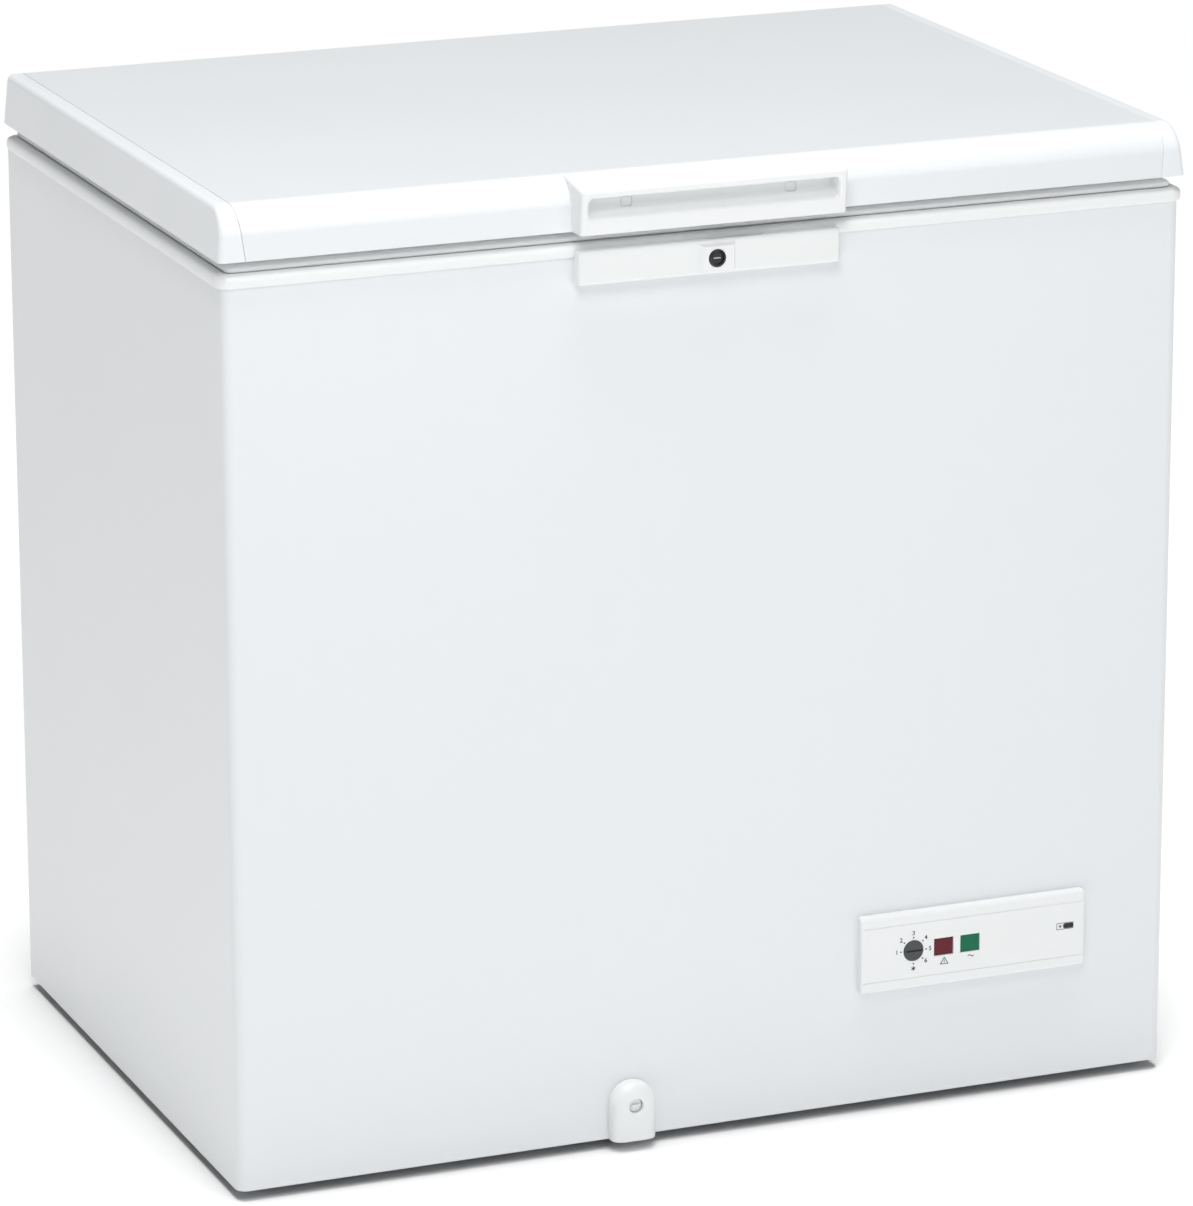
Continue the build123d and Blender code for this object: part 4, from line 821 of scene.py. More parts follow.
    @classmethod
    def settle(
        cls, piece: Piece, body: Body, finish: Finish, nodes: Sequence[str] = (), angle: float = 35.0
    ) -> Piece:
        """Smooths a finished piece, gives it its material, and sets it on the body that it moves with.

        Args:
            piece: the finished piece.
            body: the body that it rides on.
            finish: its finish.
            nodes: the CAD nodes that it stands for.
            angle: edges that turn more than this stay sharp, in degrees.

        Returns:
            The piece.
        """
        cls.outward(piece)
        cls.take(piece)
        bpy.ops.object.shade_smooth_by_angle(angle=math.radians(angle))
        cls.modify(piece, "WEIGHTED_NORMAL", keep_sharp=True)
        piece.data.materials.clear()
        piece.data.materials.append(Palette.material(finish))
        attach(piece, body.value)
        if nodes:
            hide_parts(*nodes)
        LOG.info("%s: %d faces, %s", piece.name, len(piece.data.polygons), finish.name)
        return piece

    @classmethod
    def refine(
        cls,
        node: str,
        name: str,
        body: Body,
        finish: Finish,
        width: float,
        segments: int = 2,
        edge: float = 40.0,
        smooth: float = 35.0,
    ) -> Piece:
        """Traces a CAD node, softens its edges and settles it in the node's place.

        Args:
            node: the CAD node.
            name: the new piece's name.
            body: the body that it rides on.
            finish: its finish.
            width: the width of the rounding on its edges, in millimetres.
            segments: faces across that rounding.
            edge: edges that turn more than this are rounded, in degrees.
            smooth: edges that turn more than this stay sharp afterwards, in degrees.

        Returns:
            The piece.
        """
        piece = cls.traced(node, name)
        cls.soften(piece, width, segments, edge)
        return cls.settle(piece, body, finish, [node], smooth)

    @classmethod
    def dress(cls, node: str, finish: Finish) -> None:
        """Gives a CAD node that stays its finish.

        Args:
            node: the CAD node.
            finish: its finish.
        """
        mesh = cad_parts[node].data
        mesh.materials.clear()
        mesh.materials.append(Palette.material(finish))
        LOG.info("%s: CAD form kept, %s", node, finish.name)


@dataclass
class Cabinet:
    """Sheet-metal body, tank, rim frame and feet."""

    corner: float = 10.0
    sheet: float = 0.8
    flange: float = 14.0
    # How far the panel laps over its opening: at the left, at the right, and above and below
    panel_lap: tuple[float, float, float] = (20.0, 93.0, 12.0)
    # How far the drain laps over its opening's sides, and that opening's foot and top, below the drain's top
    drain_lap: tuple[float, float, float] = (13.0, 31.0, 13.0)
    # How far the grille laps over its opening all round
    grille_lap: float = 12.0
    tank_corner: float = 20.0
    bulge: float = 3.5
    rim_wall: float = 3.0
    ledge: float = 12.0
    foot_radius: float = 19.0
    foot_edges: tuple[float, float] = (2.0, 1.0)

    def wrapper(self) -> None:
        """Bends the front and both sides from one sheet, with the openings behind the fittings."""
        lo, hi, _ = span("outer_wrapper")
        piece = Bench.block("cabinet_sheet", lo, hi)
        Bench.round(piece, self.corner, lambda m, d: d.z > ALONG and m.y < lo.y + NEAR, 10)
        Bench.drop_faces(piece, lambda m, n: abs(n.z) > ALONG or n.y > ALONG)
        for side in (-1, 1):
            Bench.edit(
                piece, Element.EDGE, lambda m, d: d.z > ALONG and m.y > hi.y - NEAR and m.x * side > 0
            )
            fold = (-side * self.flange * MM, 0, 0)
            bpy.ops.mesh.extrude_edges_move(TRANSFORM_OT_translate={"value": fold})
            Bench.clear()
        Bench.outward(piece)
        Bench.wall(piece, self.sheet)
        for corner, other in self.openings():
            Bench.carve(piece, corner, other)
        Bench.settle(piece, Body.CABINET, Palette.ENAMEL, ["outer_wrapper"])

    def openings(self) -> list[tuple[Point, Point]]:
        """Corners of the openings for the panel, the drain and the grille.

        Returns:
            Lowest and highest corner of each, in millimetres.
        """
        panel, panel_hi, _ = span("control_fascia")
        drain, drain_hi, _ = span("drain_housing")
        grille, grille_hi, _ = span("side_grille")
        left, right, ends = self.panel_lap
        sides, foot, top = self.drain_lap
        lap, near, far = self.grille_lap, FRONT - CLEAR, FRONT + CLEAR
        return [
            ((panel.x + left, near, panel.z + ends), (panel_hi.x - right, far, panel_hi.z - ends)),
            ((drain.x + sides, near, drain_hi.z - foot), (drain_hi.x - sides, far, drain_hi.z - top)),
            (
                (HALF - CLEAR, grille.y + lap, grille.z + lap),
                (HALF + CLEAR, grille_hi.y - lap, grille_hi.z - lap),
            ),
        ]

    def rim(self) -> None:
        """Lofts the rim frame: rounded outer nose, flat seal land, basket ledge and inner lip."""
        foot, top = low("rim_frame").z, high("rim_frame").z
        tank_lo, tank_hi, _ = span("inner_liner")
        half_x = (tank_hi.x - tank_lo.x) / 2
        half_y = (tank_hi.y - tank_lo.y) / 2
        middle = (tank_hi.y + tank_lo.y) / 2
        wall = self.rim_wall
        mouth = self.ledge - 1 - wall
        ledge_z = tank_hi.z + wall
        nose = (
            (-self.sheet, SEAM), (1.0, SEAM), (2.3, SEAM + 0.5), (3.1, SEAM + 1.7), (self.bulge, SEAM + 4),
            (self.bulge, top - 5), (2.9, top - 2.8), (1.6, top - 1.1), (-0.4, top - 0.2), (-3.0, top),
            (-self.sheet, top - wall),
        )
        well = (
            (mouth + 3, top), (mouth + 0.9, top - 0.9), (mouth, top - 3), (mouth, ledge_z + 2),
            (mouth - 0.6, ledge_z + 0.6), (mouth - 2, ledge_z), (1 - wall, ledge_z),
            (-wall - 0.6, ledge_z - 0.4), (-wall - 1, ledge_z - 2), (-wall - 1, foot), (-1.0, foot),
            (-1.0, tank_hi.z), (mouth + wall, tank_hi.z), (mouth + wall, top - wall),
        )
        outer = [(HALF + out, -FRONT + out, 0.0, self.corner + out, z) for out, z in nose]
        inner = [(half_x + out, half_y + out, middle, self.tank_corner + out, z) for out, z in well]
        # The nose's last loop, behind its wall, comes after the well and closes the section
        piece = Bench.ring("rim_moulding", outer[:-1] + inner + outer[-1:])
        Bench.settle(piece, Body.CABINET, Palette.MOULDING, ["rim_frame"], 30)

    def tank(self) -> None:
        """Lines the tank: wrapped walls, floor sheet and the bent sheet over the machine bay."""
        for node, name in (
            ("inner_liner", "tank_walls"),
            ("liner_floor", "tank_floor"),
            ("liner_step", "tank_step"),
        ):
            Bench.refine(node, name, Body.CABINET, Palette.LINER, 0.25, edge=60, smooth=40)

    def back(self) -> None:
        """Rear panel and base pan."""
        for node, name in (("rear_panel", "rear_sheet"), ("base_pan", "base_sheet")):
            Bench.refine(node, name, Body.CABINET, Palette.GALVANISED, 0.3)

    def glides(self) -> None:
        """Turns one foot and copies it to the four corners."""
        lo, hi, _ = span("feet")
        radius = self.foot_radius
        foot = Bench.bar("foot", (lo.x + radius, lo.y + radius, 0), BASE, radius, Axis.Z)
        Bench.round(foot, self.foot_edges[0], lambda m, d: m.z < NEAR, 3)
        Bench.round(foot, self.foot_edges[1], lambda m, d: m.z > BASE - NEAR, 2)
        size = hi - lo
        feet = [foot]
        for index, (dx, dy) in enumerate(((1, 0), (0, 1), (1, 1))):
            by = (dx * (size.x - 2 * radius), dy * (size.y - 2 * radius), 0)
            feet.append(Bench.copy(foot, f"foot_{index}", by))
        Bench.settle(Bench.merge("foot_glides", *feet), Body.CABINET, Palette.RUBBER, ["feet"])

    def build(self) -> None:
        """Builds and dresses the whole cabinet."""
        self.wrapper()
        self.rim()
        self.tank()
        self.back()
        self.glides()
        Bench.dress("cabinet_foam", Palette.FOAM)
        Bench.dress("bay_lining", Palette.GALVANISED)
        Bench.dress("drain_tube", Palette.MOULDING)


@dataclass
class Lid:
    """Lid skin, end rails, inner liner and seal."""

    draft: float = 5.0
    front_radius: float = 28.0
    edge_radius: float = 6.0
    sheet: float = 0.8
    rail_wall: float = 2.5
    rail_foot: float = 25.0
    rail_top: float = 20.0
    seam_gap: float = 0.22
    seal_wide: float = 10.0
    seal_mitre: float = 0.6
    bellows: float = 17.5

    def form(self) -> Piece:
        """Shapes the whole lid: bull-nosed front, drafted ends and upright rear.

        Returns:
            The lid's outer form, closed below.
        """
        lo, hi, _ = span("lid_skin")
        lo.x, hi.x = low("lid_rail_left").x, high("lid_rail_right").x
        piece = Bench.block("lid_form", lo, hi)
        for by, side in (
            ((0, self.draft, 0), lambda v: v.y < 0),
            ((self.draft, 0, 0), lambda v: v.x < 0),
            ((-self.draft, 0, 0), lambda v: v.x > 0),
        ):
            Bench.shift(piece, lambda v: v.z > hi.z - NEAR and side(v), by)
        lean = math.pi / 2 + math.atan2(self.draft, hi.z - lo.z)
        start = self.front_radius / math.tan(lean / 2)
        Bench.round(piece, start, lambda m, d: d.x > ALONG and m.y < 0 and m.z > hi.z - NEAR, 14)
        Bench.round(
            piece, self.edge_radius, lambda m, d: m.z > lo.z + NEAR and (d.x < ALONG or m.y > hi.y - NEAR)
        )
        return piece

    def shell(self) -> None:
        """Cuts the form into the skin and the two end rails, and gives each its wall."""
        form = self.form()
        Bench.outward(form)
        Bench.drop_faces(form, lambda m, n: n.z < -ALONG)
        foot, top = low("lid_skin").z, high("lid_skin").z
        edge = high("lid_rail_right").x
        skin = Bench.copy(form, "lid_sheet")
        for side, node in ((-1, "lid_rail_left"), (1, "lid_rail_right")):
            point = Vector((side * (edge - self.rail_foot), 0, foot))
            normal = Vector((side * (top - foot), 0, self.rail_top - self.rail_foot)).normalized()
            Bench.slice(skin, point, normal, keep_outer=False)
            rail = Bench.copy(form, node.replace("lid_rail", "end_rail"))
            Bench.slice(rail, point + normal * self.seam_gap, normal, keep_outer=True)
            Bench.wall(rail, self.rail_wall)
            Bench.soften(rail, 0.5, angle=50)
            Bench.settle(rail, Body.LID, Palette.RAIL, [node], 30)
        Bench.wall(skin, self.sheet)
        Bench.settle(skin, Body.LID, Palette.ENAMEL, ["lid_skin"], 30)
        bpy.data.objects.remove(form)

    def seal(self) -> None:
        """Lofts the magnetic seal: folded bellows, and a bulb below that reaches out to the rim's nose."""
        lo, hi, _ = span("lid_gasket")
        middle = (lo.y + hi.y) / 2
        bellows = self.bellows
        half_x, half_y = hi.x - self.seal_wide, (hi.y - lo.y) / 2 - self.seal_wide
        profile = (
            (24.4, 1.4), (23.1, 0.2), (0.0, 0.0), (-8.6, 0.2), (-9.9, 1.4), (-9.9, 3.6), (-8.4, 4.8),
            (-5.0, 5.2), (-3.0, 6.4), (-4.4, 8.2), (-3.0, 10.0), (-4.4, 11.6), (bellows, 11.6),
            (16.1, 10.0), (bellows, 8.2), (16.1, 6.6), (19.5, 5.8), (22.9, 5.2), (24.4, 3.8),
        )
        stations = [
            (half_x + out, half_y + out, middle, max(out - bellows, self.seal_mitre), lo.z + z)
            for out, z in profile
        ]
        Bench.settle(Bench.ring("lid_seal", stations, 5), Body.LID, Palette.SEAL, ["lid_gasket"], 50)

    def build(self) -> None:
        """Builds and dresses the whole lid."""
        self.shell()
        Bench.refine("lid_liner", "lid_plug_liner", Body.LID, Palette.MOULDING, 1.2, 3)
        self.seal()
        Bench.dress("lid_foam", Palette.FOAM)


@dataclass
class Handle:
    """Moulded lid handle with its finger recess and screw covers."""

    nose_under: float = 902.0
    nose: float = 8.0
    nose_radius: float = 3.2
    lip_set_back: float = 4.0
    lip_height: float = 8.0
    end_radius: float = 3.5
    end_wall: float = 8.0
    recess_back: float = 10.0
    recess_floor: float = 889.0
    recess_radius: float = 4.0
    # How far the recess's cutter stands out, and how much its floor drops over how long a run
    recess_reach: float = 20.0
    recess_slope: tuple[float, float] = (6.0, 18.0)
    mouth_radius: float = 4.0
    # How far an edge of the mouth may lie from the front's lean, and from the recess's own limits
    mouth_slack: tuple[float, float] = (0.3, 1.0)
    notch_proud: float = 9.0
    notch_width: float = 61.0
    cover_spread: float = 158.0
    cover_width: float = 10.6
    cover_corner: float = 2.4
    cover_drop: float = 1.5
    cover_gap: float = 0.25
    pocket_reach: float = 8.0

    def mouth(self, middle: Vector) -> bool:
        """Whether an edge's middle lies where the recess opens in the handle's leaning front.

        Args:
            middle: the edge's middle, in millimetres.

        Returns:
            True on the rim of the recess.
        """
        lo, hi, _ = span("lid_handle")
        lean, slack = self.mouth_slack
        foot, top = low("handle_lip").z, self.nose_under + self.nose
        proud = (top - middle.z) / (top - foot) * self.lip_set_back + lo.y
        inset = self.end_wall - slack
        return (
            abs(middle.y - proud) < lean
            and foot + self.lip_height < middle.z < self.nose_under + slack
            and lo.x + inset < middle.x < hi.x - inset
        )

    def recess(self) -> Piece:
        """Shapes the cutter that scoops out the finger recess, with its floor falling to the front.

        Returns:
            The cutter.
        """
        lo, hi, _ = span("lid_handle")
        floor, back, front = self.recess_floor, FRONT - self.recess_back, lo.y - self.recess_reach
        cutter = Bench.block(
            "recess", (lo.x + self.end_wall, front, floor), (hi.x - self.end_wall, back, self.nose_under)
        )
        drop, run = self.recess_slope
        fall = -drop * (back - lo.y + self.recess_reach) / run
        Bench.shift(cutter, lambda v: v.z < floor + NEAR and v.y < lo.y, (0, 0, fall))
        Bench.round(cutter, self.recess_radius, lambda m, d: m.y > front + NEAR, 5)
        return cutter

    def moulding(self) -> None:
        """Shapes the handle from a block, scoops out the recess, fits it to the lid and notches it."""
        lo, hi, mid = span("lid_handle")
        lo.z = low("handle_lip").z
        piece = Bench.block("handle_moulding", lo, hi)
        lower = self.nose_under + self.nose - hi.z
        Bench.shift(piece, lambda v: v.z > hi.z - NEAR and v.y < lo.y + NEAR, (0, 0, lower))
        Bench.shift(piece, lambda v: v.z < lo.z + NEAR and v.y < lo.y + NEAR, (0, self.lip_set_back, 0))
        Bench.round(piece, self.end_radius, lambda m, d: d.z > ALONG and m.y < mid.y, 10)
        crest = self.nose_under + self.nose / 2
        Bench.round(piece, self.nose_radius, lambda m, d: m.z > crest and m.y < hi.y - NEAR, 5)
        Bench.combine(piece, self.recess(), Cut.AWAY)
        Bench.round(piece, self.mouth_radius, lambda m, d: self.mouth(m), 7, clamp=False)
        Bench.combine(piece, Lid().form(), Cut.AWAY)
        left, top = low("lock_striker").x, high("handle_lip").z
        Bench.carve(
            piece,
            (left, FRONT - self.notch_proud, lo.z - CLEAR),
            (left + self.notch_width, FRONT + CLEAR, top),
        )
        Bench.soften(piece, 0.8, 3, 45)
        for step in (0.0, self.cover_spread):
            pocket = self.cover("pocket", self.cover_gap, self.pocket_reach)
            Bench.shift(pocket, lambda v: True, (step, 0, 0))
            Bench.combine(piece, pocket, Cut.AWAY)
        Bench.settle(piece, Body.LID, Palette.MOULDING, ["lid_handle", "handle_lip"])

    def cover(self, name: str, grow: float, reach: float) -> Piece:
        """Shapes the left screw cover, or the pocket that it sits in.

        Args:
            name: the piece's name.
            grow: how much larger than the cover it is all round, in millimetres.
            reach: how far it stands out of the recess's back.

        Returns:
            The rounded block.
        """
        lo, hi, _ = span("handle_screw_covers")
        corner = (lo.x - grow, lo.y - reach, lo.z - grow - self.cover_drop)
        other = (lo.x + self.cover_width + grow, hi.y, hi.z + grow - self.cover_drop)
        piece = Bench.block(name, corner, other)
        Bench.round(piece, self.cover_corner + grow, lambda m, d: d.y > ALONG, 5)
        return piece

    def covers(self) -> None:
        """Shapes one screw cover and copies it, set into the back of the recess."""
        face = low("handle_screw_covers").y
        piece = self.cover("screw_cover", 0.0, 0.0)
        Bench.round(piece, 0.4, lambda m, d: m.y < face + NEAR, 2)
        other = Bench.copy(piece, "screw_cover_right", (self.cover_spread, 0, 0))
        piece = Bench.merge("handle_covers", other, piece)
        Bench.settle(piece, Body.LID, Palette.MOULDING, ["handle_screw_covers"])

    def build(self) -> None:
        """Builds and dresses the handle."""
        self.moulding()
        self.covers()
        Bench.refine("lock_striker", "strike_block", Body.LID, Palette.ZINC, 0.2)


@dataclass
class LockSet:
    """Lock plate below the handle, key barrel and cam."""

    proud: float = 15.0
    wall: float = 2.5
    edge_radius: float = 3.4
    boss: tuple[float, float] = (38.0, 27.0)
    boss_proud: float = 3.5
    # How far the boss's left, right, and upper and lower flanks draw in towards its face
    boss_flanks: tuple[float, float, float] = (7.5, 2.6, 2.45)
    rim_notch: float = 3.6
    # The cam's slot: its reach left and right of the barrel, and how far front and rear are before the sheet
    cam_slot: tuple[float, float, float, float] = (5.0, 49.0, 9.0, 4.5)
    bore: float = 8.3
    bore_depth: float = 20.0
    # Each step of the barrel's face: how far in it starts and how deep it sinks
    ring_steps: tuple[tuple[float, float], ...] = ((2.0, 0.5), (0.5, 1.2))
    face_inset: float = 2.7
    face_sunk: float = 0.9
    face_thick: float = 4.0
    # Half width and half height of the keyway and its shutter, and front and rear from the barrel's front
    keyway: tuple[float, float] = (4.0, 0.9)
    keyway_depth: tuple[float, float] = (-2.0, 4.0)
    shutter: tuple[float, float] = (3.4, 0.85)
    shutter_depth: tuple[float, float] = (1.3, 3.0)

    def plate(self) -> None:
        """Shapes the plate and its boss, hollows it and bores it for the barrel."""
        lo, hi, _ = span("lock_plate")
        barrel = span("lock_barrel")[2]
        outer, wall = FRONT - self.proud, self.wall
        piece = Bench.block("lock_moulding", (lo.x, outer, lo.z), (hi.x, FRONT, hi.z))
        Bench.round(piece, self.edge_radius, lambda m, d: m.y < outer + NEAR)
        face = outer - self.boss_proud
        half = (self.boss[0] / 2, self.boss[1] / 2)
        boss = Bench.slab("boss", (barrel.x, barrel.z), half, (face, outer + 1))
        left, right, ends = self.boss_flanks
        for by, side in (
            ((left, 0, 0), lambda v: v.x < barrel.x),
            ((-right, 0, 0), lambda v: v.x > barrel.x),
            ((0, 0, ends), lambda v: v.z < barrel.z),
            ((0, 0, -ends), lambda v: v.z > barrel.z),
        ):
            Bench.shift(boss, lambda v: v.y < face + NEAR and side(v), by)
        Bench.combine(piece, boss, Cut.ONTO)
        left, right, front, rear = self.cam_slot
        for corner, other in (
            ((lo.x + wall, outer + wall, lo.z + wall), (hi.x - wall, FRONT + CLEAR, hi.z - wall)),
            ((lo.x - CLEAR, FRONT - self.rim_notch, SEAM), (hi.x + CLEAR, FRONT + CLEAR, hi.z + CLEAR)),
            ((barrel.x - left, FRONT - front, barrel.z), (barrel.x + right, FRONT - rear, hi.z + CLEAR)),
        ):
            Bench.carve(piece, corner, other)
        Bench.drill(piece, (barrel.x, face - CLEAR, barrel.z), self.bore_depth, self.bore, 64)
        Bench.soften(piece, 0.5, angle=50)
        Bench.settle(piece, Body.CABINET, Palette.MOULDING, ["lock_plate"])

    def barrel(self) -> None:
        """Turns the barrel's ring and its key face, cuts the keyway and sets the shutter in it."""
        lo, hi, mid = span("lock_barrel")
        radius, middle = (hi.x - lo.x) / 2, (mid.x, mid.z)
        ring = Bench.bar("barrel_ring", (mid.x, lo.y, mid.z), hi.y - lo.y, radius, Axis.Y, 64)
        Bench.round(ring, 0.6, lambda m, d: m.y < lo.y + NEAR, 3)
        Bench.edit(ring, Element.FACE, lambda m, n: n.y < -ALONG)
        for inset, depth in self.ring_steps:
            bpy.ops.mesh.inset(thickness=inset * MM)
            bpy.ops.mesh.extrude_region_move(TRANSFORM_OT_translate={"value": (0, depth * MM, 0)})
        Bench.clear()
        Bench.settle(ring, Body.LOCK, Palette.SMOKED, ["lock_barrel"])
        sunk = lo.y + self.face_sunk
        radius -= self.face_inset
        face = Bench.bar("barrel_face", (mid.x, sunk, mid.z), self.face_thick, radius, Axis.Y, 48)
        Bench.round(face, 0.35, lambda m, d: m.y < sunk + NEAR, 2)
        depth = [lo.y + step for step in self.keyway_depth]
        Bench.combine(face, Bench.slab("keyway", middle, self.keyway, depth), Cut.AWAY)
        Bench.settle(face, Body.LOCK, Palette.SMOKED)
        depth = [lo.y + step for step in self.shutter_depth]
        shutter = Bench.slab("key_shutter", middle, self.shutter, depth)
        Bench.round(shutter, 0.5, lambda m, d: m.y < depth[0] + NEAR and d.x > ALONG, 3)
        Bench.settle(shutter, Body.LOCK, Palette.NICKEL)

    def build(self) -> None:
        """Builds and dresses the lock."""
        self.plate()
        self.barrel()
        Bench.refine("lock_cam", "lock_tongue", Body.LOCK, Palette.ZINC, 0.3)


@dataclass
class ControlPanel:
    """Fascia with its rails and grooves, dial marks, knob and two lamp windows."""

    rail_radius: float = 5.0
    end_radius: float = 2.6
    groove_inset: float = 11.0
    groove: float = 0.45
    wall: float = 2.5
    rail_wall: float = 7.5
    knob_hole: float = 10.2
    hole_depth: float = 20.0
    window: tuple[float, float] = (19.6, 16.8)
    window_gap: float = 0.2
    window_depth: float = 8.0
    red_dx: float = -31.0
    green_dx: float = -4.0
    knob_radius: float = 9.7
    knob_thick: float = 2.9
    # The coin slot's left and right reach, half width and depth
    coin_slot: tuple[float, float, float, float] = (7.3, 15.0, 0.95, 1.5)
    shaft_radius: float = 3.0
    shaft_lap: float = 0.1
    number_size: float = 6.0
    dial_radius: float = 17.0
    dot_inset: float = 4.2
    dot: tuple[float, float] = (0.5, 1.3)
    # A printed mark's height over the face, half thickness and swell
    ink: tuple[float, float, float] = (0.02, 0.03, 0.1)
    cold_drop: float = 0.6
    # Places of the signs, from the red window's middle, the green window's and the panel's
    signs: tuple[tuple[float, float], ...] = ((0.6, -14.4), (0.8, -12.4), (94.0, 4.0))
    # A printed line's front and rear, from the face
    line: tuple[float, float] = (-0.05, 0.02)

    def __post_init__(self) -> None:
        """Takes the panel's middle and face, and the knob's middle, from the CAD."""
        lo, _, self.middle = span("control_fascia")
        self.face = lo.y
        self.knob = span("thermostat_knob")[2]

    def fascia(self) -> None:
        """Shapes the fascia: rounded rails, two grooves, knob hole and windows."""
        lo, hi, mid = span("control_fascia")
        wall, front = self.wall, lo.y - CLEAR
        piece = Bench.block("panel_fascia", lo, hi)
        Bench.round(piece, self.rail_radius, lambda m, d: d.x > ALONG and m.y < lo.y + NEAR, 8)
        Bench.round(piece, self.end_radius, lambda m, d: d.x < ACROSS and m.y < hi.y - NEAR, 5)
        for sign in (-1, 1):
            z, half = mid.z + sign * ((hi.z - lo.z) / 2 - self.groove_inset), self.groove
            Bench.carve(piece, (lo.x - CLEAR, front, z - half), (hi.x + CLEAR, lo.y + half, z + half))
        Bench.carve(
            piece,
            (lo.x + wall, lo.y + wall, lo.z + self.rail_wall),
            (hi.x - wall, hi.y + CLEAR, hi.z - self.rail_wall),
        )
        Bench.drill(piece, (self.knob.x, front, mid.z), self.hole_depth, self.knob_hole, 64)
        half = [size / 2 + self.window_gap for size in self.window]
        for dx in (self.red_dx, self.green_dx):
            window = Bench.slab("window", (mid.x + dx, mid.z), half, (front, lo.y + self.window_depth))
            Bench.combine(piece, window, Cut.AWAY)
        Bench.soften(piece, 0.35, angle=50)
        Bench.settle(piece, Body.CABINET, Palette.MOULDING, ["control_fascia"])

    def dial(self) -> None:
        """Turns the knob, cuts its coin slot and adds its shaft."""
        lo, hi, mid = span("thermostat_knob")
        knob = Bench.bar("dial_knob", (mid.x, lo.y, mid.z), self.knob_thick, self.knob_radius, Axis.Y, 64)
        Bench.round(knob, 0.7, lambda m, d: m.y < lo.y + NEAR, 3)
        left, right, half, depth = self.coin_slot
        corner = (mid.x - left, lo.y - CLEAR, mid.z - half)
        Bench.carve(knob, corner, (mid.x + right, lo.y + depth, mid.z + half))
        start = self.knob_thick - self.shaft_lap
        length = hi.y - lo.y - start
        shaft = Bench.bar("shaft", (mid.x, lo.y + start, mid.z), length, self.shaft_radius, Axis.Y, 24)
        knob = Bench.merge("dial_knob", shaft, knob)
        Bench.soften(knob, 0.15, angle=50)
        Bench.settle(knob, Body.KNOB, Palette.KNOB, ["thermostat_knob"])

    def printed(self, text: str, place: Point, name: str) -> Piece:
        """Prints a mark on the fascia's face.

        Args:
            text: the mark.
            place: its middle, X and Z in millimetres.
            name: the piece's name.

        Returns:
            The mark as a thin mesh.
        """
        Bench.clear()
        lift, thick, swell = self.ink
        bpy.ops.object.text_add(location=(place[0] * MM, (self.face - lift) * MM, place[1] * MM))
        mark = bpy.context.object
        mark.data.body = text
        mark.data.size = self.number_size * MM
        mark.data.align_x = "CENTER"
        mark.data.align_y = "CENTER"
        mark.data.offset = swell * MM
        mark.data.extrude = thick * MM
        bpy.ops.object.convert(target="MESH")
        bpy.context.object.rotation_euler = Axis.Y.value
        return Bench.named(name)

    def stroke(self, centre: Vector, points: Sequence[Point], width: float, name: str) -> Piece:
        """Prints a line of small bars on the fascia's face.

        Args:
            centre: the point that the line is set from, X and Z in millimetres.
            points: the line's corners, from the centre.
            width: the line's width.
            name: the piece's name.

        Returns:
            The line as a thin mesh.
        """
        bars, lap, depth = [], width / 4, [self.face + side for side in self.line]
        places = [centre + Vector(point) for point in points]
        for start, end in zip(places, places[1:]):
            run = Vector((end[0] - start[0], end[1] - start[1]))
            bar = Bench.slab(name, (0, 0), (run.length / 2 + lap, width / 2), depth)
            Bench.round(bar, lap, lambda m, d: d.y > ALONG, 1)
            bar.rotation_euler = (0, -math.atan2(run.y, run.x), 0)
            bar.location = ((start[0] + end[0]) / 2 * MM, 0, (start[1] + end[1]) / 2 * MM)
            Bench.take(bar)
            bars.append(Bench.named(name))
        return Bench.merge(name, *bars)

    @staticmethod
    def way(turn: float, length: float) -> Vector:
        """A direction on the fascia's face, by its angle in degrees and its length."""
        return Vector((math.cos(math.radians(turn)), math.sin(math.radians(turn)))) * length

    def star(self, centre: Vector, reach: float, width: float, name: str) -> list[Piece]:
        """Prints three crossed lines.

        Args:
            centre: where they cross, X and Z in millimetres.
            reach: how far each line runs from there.
            width: the lines' width.
            name: the start of each line's name.

        Returns:
            The lines.
        """
        ways = [(turn, self.way(turn, reach)) for turn in (90, 30, -30)]
        return [self.stroke(centre, (-way, way), width, f"{name}_{turn}") for turn, way in ways]

